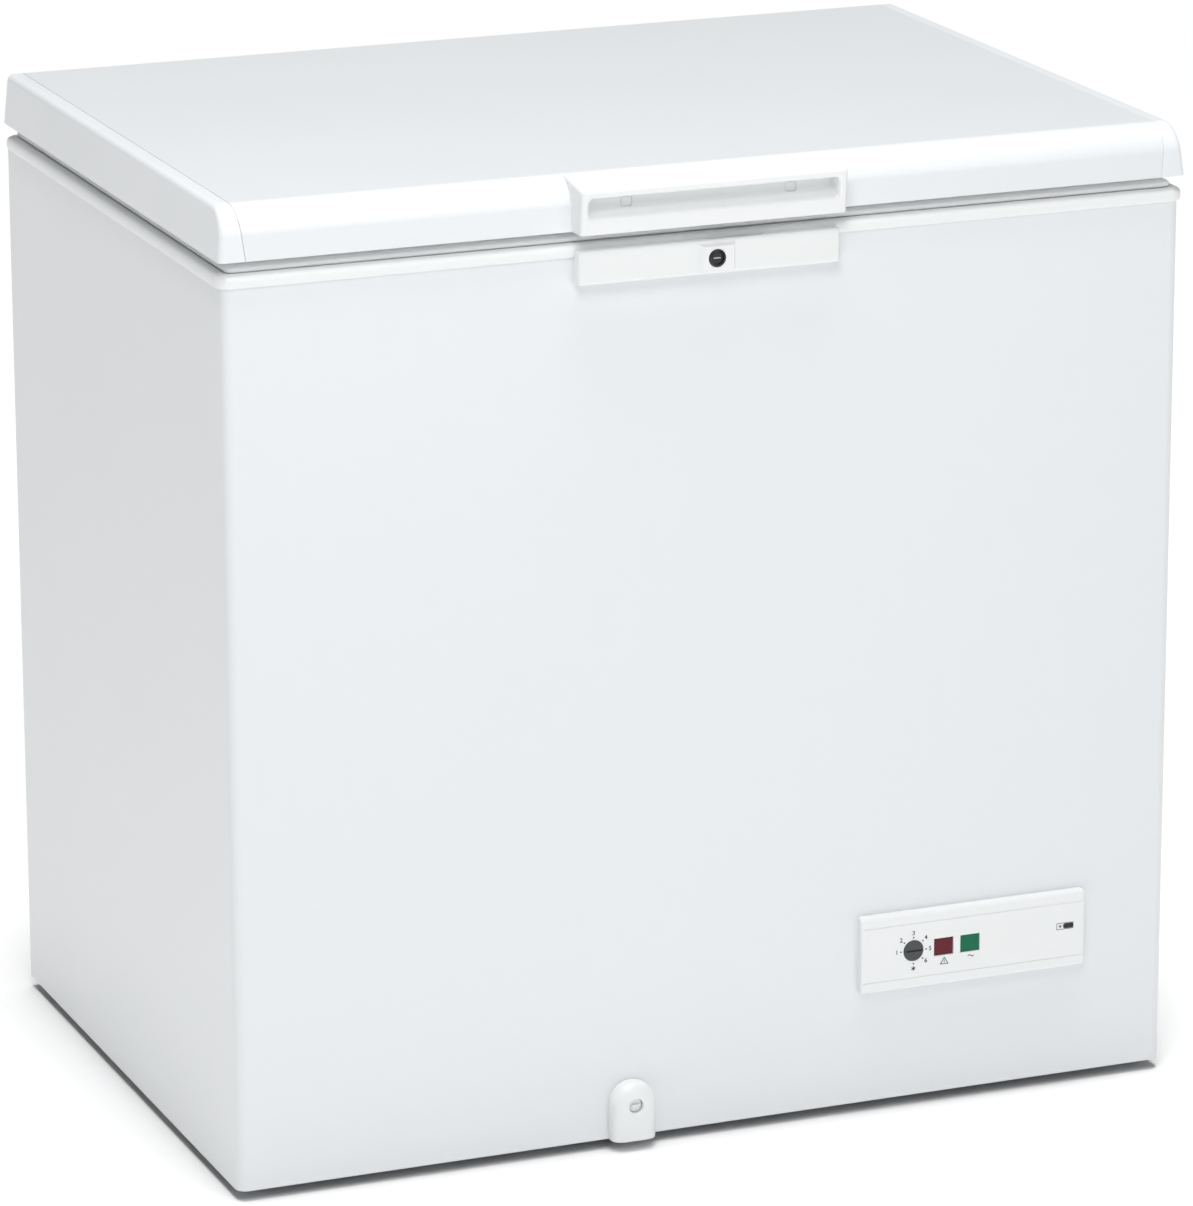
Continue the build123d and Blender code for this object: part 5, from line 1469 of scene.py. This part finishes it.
    def marks(self) -> None:
        """Prints the dial's numbers and dots, the cold mark, and the small signs by the lamps."""
        mid, hub, made = self.middle, Vector((self.knob.x, self.middle.z)), []
        half, thick = self.dot
        for number, turn in zip("123456", (180, 138, 90, 42, 0, -42)):
            spot = hub + self.way(turn, self.dial_radius)
            made.append(self.printed(number, spot, f"number_{number}"))
            dot, way = hub + self.way(turn, self.dial_radius - self.dot_inset), self.way(turn, half)
            made.append(self.stroke(dot, (-way, way), thick, f"dot_{number}"))
        made += self.star(hub - Vector((0, self.dial_radius + self.cold_drop)), 2.1, 0.8, "cold")
        dot = hub - Vector((0, self.dial_radius - self.dot_inset))
        made.append(self.stroke(dot, ((0, -half), (0, half)), thick, "dot_cold"))
        red, green, sign = (
            Vector((mid.x + dx + place[0], mid.z + place[1]))
            for dx, place in zip((self.red_dx, self.green_dx, 0.0), self.signs)
        )
        wave = [(t, -0.8 * math.sin(t * math.pi / 3)) for t in range(-3, 4)]
        for centre, points, width, name in (
            (red, ((-3.9, -2.6), (3.9, -2.6), (0, 3.6), (-3.9, -2.6)), 0.75, "lamp_triangle"),
            (red, ((0, -1.3), (0, 1.2)), 0.7, "lamp_triangle_bar"),
            (green, wave, 0.8, "lamp_wave"),
            (sign, ((-8.5, -3), (8.5, -3), (8.5, 3), (-8.5, 3), (-8.5, -3)), 0.5, "sign_frame"),
            (sign, ((-0.6, 0), (7.6, 0)), 5.0, "sign_field"),
        ):
            made.append(self.stroke(centre, points, width, name))
        made += self.star(sign - Vector((5.0, 0)), 1.5, 0.55, "sign_star")
        Bench.settle(Bench.merge("panel_marks", *made), Body.CABINET, Palette.INK)

    def build(self) -> None:
        """Builds and dresses the panel."""
        self.fascia()
        for node, finish in (("red_lens", Palette.RED), ("green_lens", Palette.GREEN)):
            Bench.refine(node, node.replace("lens", "window"), Body.CABINET, finish, 0.5, 3)
        self.dial()
        self.marks()
        Bench.dress("lamp_block", Palette.DARK)
        Bench.dress("thermostat_body", Palette.DARK)


@dataclass
class Drain:
    """Arched drain housing with its stopper, and the plug in the tank floor."""

    bore: float = 7.0
    bore_depth: float = 30.0
    rounding: float = 11.0
    # What keeps the arch's two roundings from meeting in one point
    crown_gap: float = 0.003
    grip: tuple[float, float] = (3.5, 1.1)
    grip_proud: float = 2.2
    plug_stem: float = 6.4
    plug_grip: tuple[float, float] = (5.0, 8.5)
    head_thick: float = 5.0
    head_under: float = 13.0

    def housing(self) -> None:
        """Shapes the arch, rounds its face and bores the outlet."""
        lo, hi, _ = span("drain_housing")
        radius = (hi.x - lo.x) / 2
        middle = (lo.x + hi.x) / 2
        centre = hi.z - radius
        piece = Bench.block("drain_arch", lo, hi)
        Bench.round(piece, radius - self.crown_gap, lambda m, d: d.y > ALONG and m.z > hi.z - NEAR, 14)
        Bench.outward(piece)
        Bench.round(piece, self.rounding, lambda m, d: m.y < lo.y + NEAR and m.z > lo.z + NEAR, 8)
        Bench.drill(piece, (middle, lo.y - CLEAR, centre), self.bore_depth, self.bore, 48)
        Bench.soften(piece, 0.9, 3, 55)
        Bench.settle(piece, Body.CABINET, Palette.MOULDING, ["drain_housing"])

    def stopper(self) -> None:
        """Turns the outlet stopper with its grip bar."""
        lo, hi, mid = span("outlet_stopper")
        face = lo.y + self.grip_proud
        radius = (hi.x - lo.x) / 2
        piece = Bench.bar("outlet_plug", (mid.x, face, mid.z), hi.y - face, radius, Axis.Y, 40)
        Bench.round(piece, 0.8, lambda m, d: m.y < face + NEAR, 3)
        grip = Bench.slab("grip", (mid.x, mid.z), self.grip, (lo.y, face + LAP))
        Bench.round(grip, 0.6, lambda m, d: m.y < lo.y + NEAR, 2)
        Bench.combine(piece, grip, Cut.ONTO)
        Bench.soften(piece, 0.2, angle=60)
        Bench.settle(piece, Body.STOPPER, Palette.RAIL, ["outlet_stopper"])

    def tank_plug(self) -> None:
        """Turns the tank plug: stem, flat head and grip."""
        lo, hi, mid = span("drain_plug")
        seat, thick = hi.z - self.head_under, self.head_thick
        stem = Bench.bar("stem", (mid.x, mid.y, lo.z), seat - lo.z, self.plug_stem, Axis.Z, 32)
        Bench.round(stem, 1.5, lambda m, d: m.z < lo.z + NEAR, 3)
        head = Bench.bar("head", (mid.x, mid.y, seat), thick, (hi.x - lo.x) / 2, Axis.Z, 48)
        Bench.round(head, 1.6, lambda m, d: m.z > seat + thick - NEAR, 4)
        foot, (radius, tall) = seat + thick - LAP, self.plug_grip
        grip = Bench.bar("tank_plug_moulding", (mid.x, mid.y, foot), tall, radius, Axis.Z, 32)
        Bench.round(grip, 1.4, lambda m, d: m.z > hi.z - NEAR, 4)
        piece = Bench.merge("tank_plug_moulding", stem, head, grip)
        Bench.settle(piece, Body.TANK_PLUG, Palette.MOULDING, ["drain_plug"])

    def build(self) -> None:
        """Builds and dresses the drain."""
        self.housing()
        self.stopper()
        self.tank_plug()


@dataclass
class Screws:
    """Cross-head screws, modelled once and copied to their places."""

    radius: float = 4.0
    thick: float = 2.6
    sunk: float = 1.0
    crown: float = 1.2
    # The cross: its reach as a share of the head's radius, half width, and height of its floor
    cross: tuple[float, float, float] = (0.55, 0.5, 0.7)

    def build(self, name: str, places: Sequence[Point], turn: Point, body: Body) -> Piece:
        """Sets a screw at each place and dresses the row.

        Args:
            name: the name of the joined screws.
            places: where each head sits, in millimetres.
            turn: the rotation from a head that faces up, in radians.
            body: the body that they ride on.

        Returns:
            The joined screws.
        """
        head = Bench.bar(name, (0, 0, -self.sunk), self.thick, self.radius, Axis.Z, 24)
        Bench.round(head, self.crown, lambda m, d: m.z > self.thick - self.sunk - NEAR, 4)
        share, half, floor = self.cross
        for x, y in ((self.radius * share, half), (half, self.radius * share)):
            Bench.carve(head, (-x, -y, floor), (x, y, CLEAR))
        made = []
        for index, place in enumerate(places):
            one = Bench.copy(head, f"{name}_{index}")
            one.rotation_euler = turn
            one.location = Vector(place) * MM
            Bench.take(one)
            made.append(Bench.named(f"{name}_{index}"))
        bpy.data.objects.remove(head)
        return Bench.settle(Bench.merge(name, *made), body, Palette.ZINC)


@dataclass
class Hinges:
    """Two spring hinges on the back."""

    steel: float = 2.0
    arm_steel: float = 2.5
    pin: float = 4.0
    pin_head: tuple[float, float] = (6.0, 2.5)
    # Screws: how far in from the ears' sides and up from their foot, and along and down the arms
    ear_inset: float = 9.0
    ear_heights: tuple[float, float] = (20.0, 95.0)
    arm_spread: float = 11.0
    arm_drop: float = 7.0
    arm_screw: float = 3.6

    def pivot(self, side: str) -> None:
        """Turns one hinge's pin with its two heads.

        Args:
            side: left or right.
        """
        node = f"hinge_pin_{side}"
        lo, hi, mid = span(node)
        bar = Bench.bar(f"pivot_{side}", (lo.x, mid.y, mid.z), hi.x - lo.x, self.pin, Axis.X, 32)
        radius, thick = self.pin_head
        heads = []
        for x in (lo.x, hi.x - thick):
            heads.append(Bench.bar("pivot_head", (x, mid.y, mid.z), thick, radius, Axis.X, 32))
            Bench.round(heads[-1], 0.9, lambda m, d: d.x < ACROSS, 3)
        piece = Bench.merge(f"pivot_{side}", *heads, bar)
        Bench.settle(piece, Body.CABINET, Palette.ZINC, [node])

    def build(self) -> None:
        """Builds and dresses both hinges with their screws."""
        ear_screws, arm_screws = [], []
        for side in ("left", "right"):
            box, arm = f"hinge_housing_{side}", f"hinge_arm_{side}"
            Bench.refine(box, f"spring_box_{side}", Body.CABINET, Palette.ZINC, 0.5)
            Bench.refine(arm, f"lid_arm_{side}", Body.LID, Palette.ZINC, 0.4)
            self.pivot(side)
            lo, hi, _ = span(box)
            for z in self.ear_heights:
                for x in (lo.x + self.ear_inset, hi.x - self.ear_inset):
                    ear_screws.append((x, BACK + self.steel, lo.z + z))
            lo, hi, _ = span(arm)
            middle, rear = (lo.x + hi.x) / 2, high("lid_skin").y + self.arm_steel
            for dx in (-self.arm_spread, self.arm_spread):
                arm_screws.append((middle + dx, rear, hi.z - self.arm_drop))
        Screws().build("hinge_screws", ear_screws, BACKWARD, Body.CABINET)
        Screws(self.arm_screw).build("lid_arm_screws", arm_screws, BACKWARD, Body.LID)


@dataclass
class MachineBay:
    """Compressor, pipes and the two vented covers round them."""

    cover_screw: float = 3.6
    cover_inset: tuple[float, float] = (7.0, 12.0)
    foot_plate: float = 3.0
    plate_corner: float = 14.0
    shell_radius: float = 72.0
    shell_inset: float = 0.4
    stretch: float = 32.0
    shell_crown: float = 46.0
    seam_height: float = 70.0
    seam_thick: float = 5.0
    seam_proud: float = 2.6
    bolt: float = 6.0
    bolt_inset: float = 13.0
    pipe: float = 4.0
    pipe_bend: float = 16.0

    def covers(self) -> None:
        """Side grille, rear cover and mains gland."""
        Bench.refine("side_grille", "vent_grille", Body.CABINET, Palette.MOULDING, 0.9, 3)
        Bench.refine("rear_cover", "bay_cover", Body.CABINET, Palette.GALVANISED, 0.3)
        lo, hi, _ = span("rear_cover")
        side, end = self.cover_inset
        heights = (lo.z + end, (lo.z + hi.z) / 2, hi.z - end)
        spots = [(x, hi.y, z) for x in (lo.x + side, hi.x - side) for z in heights]
        Screws(self.cover_screw).build("bay_cover_screws", spots, BACKWARD, Body.CABINET)
        Bench.refine("cord_gland", "mains_gland", Body.CABINET, Palette.DARK, 0.7, 3)

    def oval(self, name: str, z: float, height: float, radius: float) -> Piece:
        """Shapes one oval slab of the compressor's shell.

        Args:
            name: the piece's name.
            z: height of its foot, in millimetres.
            height: how tall it is.
            radius: radius of its round ends.

        Returns:
            The slab.
        """
        mid, half = span("compressor")[2], self.stretch / 2
        slab = Bench.bar(name, (mid.x, mid.y, z), height, radius, Axis.Z, 48)
        Bench.shift(slab, lambda v: v.y > mid.y + NEAR, (0, half, 0))
        Bench.shift(slab, lambda v: v.y < mid.y - NEAR, (0, -half, 0))
        return slab

    def compressor(self) -> None:
        """Shapes the welded shell: two drawn halves with a seam flange, on its foot plate."""
        lo, hi, _ = span("compressor")
        base = lo.z + self.foot_plate
        radius = self.shell_radius - self.shell_inset
        shell = self.oval("compressor_shell", base - LAP, hi.z - base + LAP, radius)
        Bench.round(shell, self.shell_crown, lambda m, d: m.z > hi.z - NEAR, 10)
        radius = self.shell_radius + self.seam_proud
        seam = self.oval("seam", base + self.seam_height, self.seam_thick, radius)
        Bench.round(seam, 1.8, lambda m, d: d.z < ACROSS, 3)
        plate = Bench.block("plate", lo, (hi.x, hi.y, base))
        Bench.round(plate, self.plate_corner, lambda m, d: d.z > ALONG, 5)
        Bench.round(plate, 0.8, lambda m, d: m.z > base - NEAR, 2)
        piece = Bench.merge("compressor_shell", seam, plate, shell)
        Bench.settle(piece, Body.CABINET, Palette.BLACK, ["compressor"])
        Bench.refine("compressor_grommets", "rubber_mounts", Body.CABINET, Palette.RUBBER, 1.5, 3)
        lo, hi, _ = span("compressor_grommets")
        inset = self.bolt_inset
        spots = [(x, y, base) for x in (lo.x + inset, hi.x - inset) for y in (lo.y + inset, hi.y - inset)]
        Screws(self.bolt).build("compressor_bolts", spots, (0, 0, 0), Body.CABINET)
        Bench.refine("relay_cover", "relay_cap", Body.CABINET, Palette.DARK, 1.0, 3)

    def pipes(self) -> None:
        """Bends the suction and discharge pipes and turns the filter drier."""
        radius = self.pipe
        lo, hi, _ = span("suction_pipe")
        x, y, z = (lo.x + hi.x) / 2, lo.y + radius, lo.z + radius
        suction = [(x, hi.y, z), (x, y, z), (x, y, hi.z)]
        x = hi.x - radius
        lo, hi, _ = span("discharge_pipe")
        y, z = hi.y - radius, (lo.z + hi.z) / 2
        discharge = [(x, lo.y, z), (x, y, z), (lo.x, y, z)]
        for name, run in (("suction", suction), ("discharge", discharge)):
            piece = Bench.wire(f"{name}_tube", run, radius, self.pipe_bend)
            Bench.settle(piece, Body.CABINET, Palette.COPPER, [f"{name}_pipe"])
        lo, hi, mid = span("filter_drier")
        radius = (hi.x - lo.x) / 2
        piece = Bench.bar("drier_cartridge", (mid.x, mid.y, lo.z), hi.z - lo.z, radius, Axis.Z, 32)
        Bench.settle(piece, Body.CABINET, Palette.COPPER, ["filter_drier"])

    def build(self) -> None:
        """Builds and dresses the bay."""
        self.covers()
        self.compressor()
        self.pipes()


@dataclass
class Basket:
    """Hanging basket of plastic-dipped wire."""

    half_depth: float = 229.3
    draft: float = 18.0
    frame_wire: float = 3.0
    mesh_wire: float = 2.0
    frame_bend: float = 12.0
    mesh_bend: float = 10.0
    cross_wires: int = 6
    long_wires: int = 4
    long_lift: float = 3.0
    weld: float = 1.0
    hanger_inset: float = 40.0
    hanger_gap: float = 0.2

    def build(self) -> None:
        """Bends, joins and dresses the basket's wires."""
        lo, hi, mid = span("storage_basket")
        thick, thin = self.frame_wire, self.mesh_wire
        half_x, half_y = (hi.x - lo.x) / 2 - thick, self.half_depth
        hanger_z = hi.z - thick
        frame_z = hanger_z - 2 * thick + self.weld
        floor = lo.z + thin
        wires = []
        for inset, z, radius in ((0, frame_z, thick), (self.draft / 2, (frame_z + floor) / 2, thin)):
            x, y = half_x - inset, half_y - inset
            corners = [(mid.x + i * x, mid.y + j * y, z) for i, j in ((-1, -1), (1, -1), (1, 1), (-1, 1))]
            wires.append(Bench.wire("ring", corners, radius, self.frame_bend, closed=True))
        pitch = (2 * half_x - 2 * self.draft) / self.cross_wires
        foot = half_y - self.draft
        for index in range(self.cross_wires):
            x = mid.x + (index - (self.cross_wires - 1) / 2) * pitch
            path = ((-half_y, frame_z), (-foot, floor), (foot, floor), (half_y, frame_z))
            wires.append(Bench.wire("cross", [(x, mid.y + y, z) for y, z in path], thin, self.mesh_bend))
        pitch = 2 * foot / self.long_wires
        foot, bed = half_x - self.draft, floor + self.long_lift
        for index in range(self.long_wires):
            y = mid.y + (index - (self.long_wires - 1) / 2) * pitch
            path = ((-half_x, frame_z), (-foot, bed), (foot, bed), (half_x, frame_z))
            wires.append(Bench.wire("long", [(mid.x + x, y, z) for x, z in path], thin, self.mesh_bend))
        for side in (-1, 1):
            x = mid.x + side * (half_x - self.hanger_inset)
            ends = (lo.y + self.hanger_gap, hi.y - self.hanger_gap)
            wires.append(Bench.wire("hanger", [(x, y, hanger_z) for y in ends], thick, 0))
        piece = Bench.merge("wire_basket", *wires)
        Bench.settle(piece, Body.BASKET, Palette.WIRE, ["storage_basket"], 50)


@dataclass
class Studio:
    """Pale floor, soft lights and the camera at the photograph's angle, in metres and degrees."""

    azimuth: float = -21.85
    elevation: float = 16.2
    roll: float = -0.14
    lens: float = 193.5
    distance: float = 6.172
    aim: tuple[float, float, float] = (0.0, 0.0, 0.4275)
    across: float = 0.0118
    lift: float = -0.0003
    floor_size: float = 30.0
    surround: float = 0.20
    ceiling: float = 2.70
    ceiling_spread: float = 30.0

    def floor(self) -> None:
        """Lays a wide flat sheet of pale paper."""
        Bench.clear()
        bpy.ops.mesh.primitive_plane_add(size=1.0, location=(0, 0, 0))
        bpy.context.object.scale = (self.floor_size, self.floor_size, 1)
        sheet = Bench.named("studio_floor")
        sheet.data.materials.append(Palette.material(Palette.PAPER))

    @staticmethod
    def hold(data: bpy.types.Light | bpy.types.Camera, place: Point) -> Piece:
        """Puts a light or a camera in the scene.

        Args:
            data: the light or the camera.
            place: where it stands.

        Returns:
            Its holder.
        """
        holder = bpy.data.objects.new(data.name, data)
        bpy.context.scene.collection.objects.link(holder)
        holder.location = place
        return holder

    def lights(self) -> None:
        """Hangs two soft boxes and a broad light overhead, in a bright even surround."""
        world = bpy.data.worlds.new("white_surround")
        bpy.context.scene.world = world
        world.use_nodes = True
        surround = world.node_tree.nodes["Background"].inputs
        surround["Color"].default_value = (1.0, 1.0, 1.0, 1.0)
        surround["Strength"].default_value = self.surround
        for name, place, target, size, power in (
            ("front_soft_box", (-0.75, -1.75, 2.35), (-0.1, -0.32, 0.7), 0.9, 19.5),
            ("front_fill", (0.9, -3.1, 2.0), (0.1, -0.32, 0.75), 1.6, 10.5),
        ):
            lamp = bpy.data.lights.new(name, "AREA")
            lamp.shape = "SQUARE"
            lamp.size = size
            lamp.energy = power
            way = Vector(target) - Vector(place)
            self.hold(lamp, place).rotation_euler = way.to_track_quat("-Z", "Y").to_euler()
        ceiling = bpy.data.lights.new("ceiling_bounce", "SUN")
        ceiling.angle = math.radians(self.ceiling_spread)
        ceiling.energy = self.ceiling
        self.hold(ceiling, (0, 0, 4))

    def camera(self) -> None:
        """Sets the camera where the photograph was taken from."""
        az, el, turn = (math.radians(a) for a in (self.azimuth, self.elevation, self.roll))
        back = Vector((math.sin(az) * math.cos(el), -math.cos(az) * math.cos(el), math.sin(el)))
        right = Vector((math.cos(az), math.sin(az), 0))
        up = back.cross(right)
        across = math.cos(turn) * right + math.sin(turn) * up
        upright = -math.sin(turn) * right + math.cos(turn) * up
        spot = Vector(self.aim) + across * self.across + upright * self.lift + back * self.distance
        view = bpy.data.cameras.new("studio_camera")
        view.sensor_fit = "VERTICAL"
        view.sensor_height = 36.0
        view.lens = self.lens
        view.clip_end = 100.0
        holder = self.hold(view, spot)
        turned = Matrix((across, upright, back)).transposed()
        holder.matrix_world = Matrix.Translation(spot) @ turned.to_4x4()
        bpy.context.scene.camera = holder

    def build(self) -> None:
        """Sets the whole studio."""
        self.floor()
        self.lights()
        self.camera()
        bpy.context.scene.view_settings.view_transform = "Standard"


def main() -> None:
    """Builds the freezer's sub-assemblies in order, then the studio."""
    logging.basicConfig(level=logging.INFO, format="%(name)s %(message)s")
    for part in (
        Cabinet(),
        Lid(),
        Handle(),
        LockSet(),
        ControlPanel(),
        Drain(),
        Hinges(),
        MachineBay(),
        Basket(),
        Studio(),
    ):
        LOG.info("building %s", type(part).__name__)
        part.build()


if __name__ == "__main__":
    main()
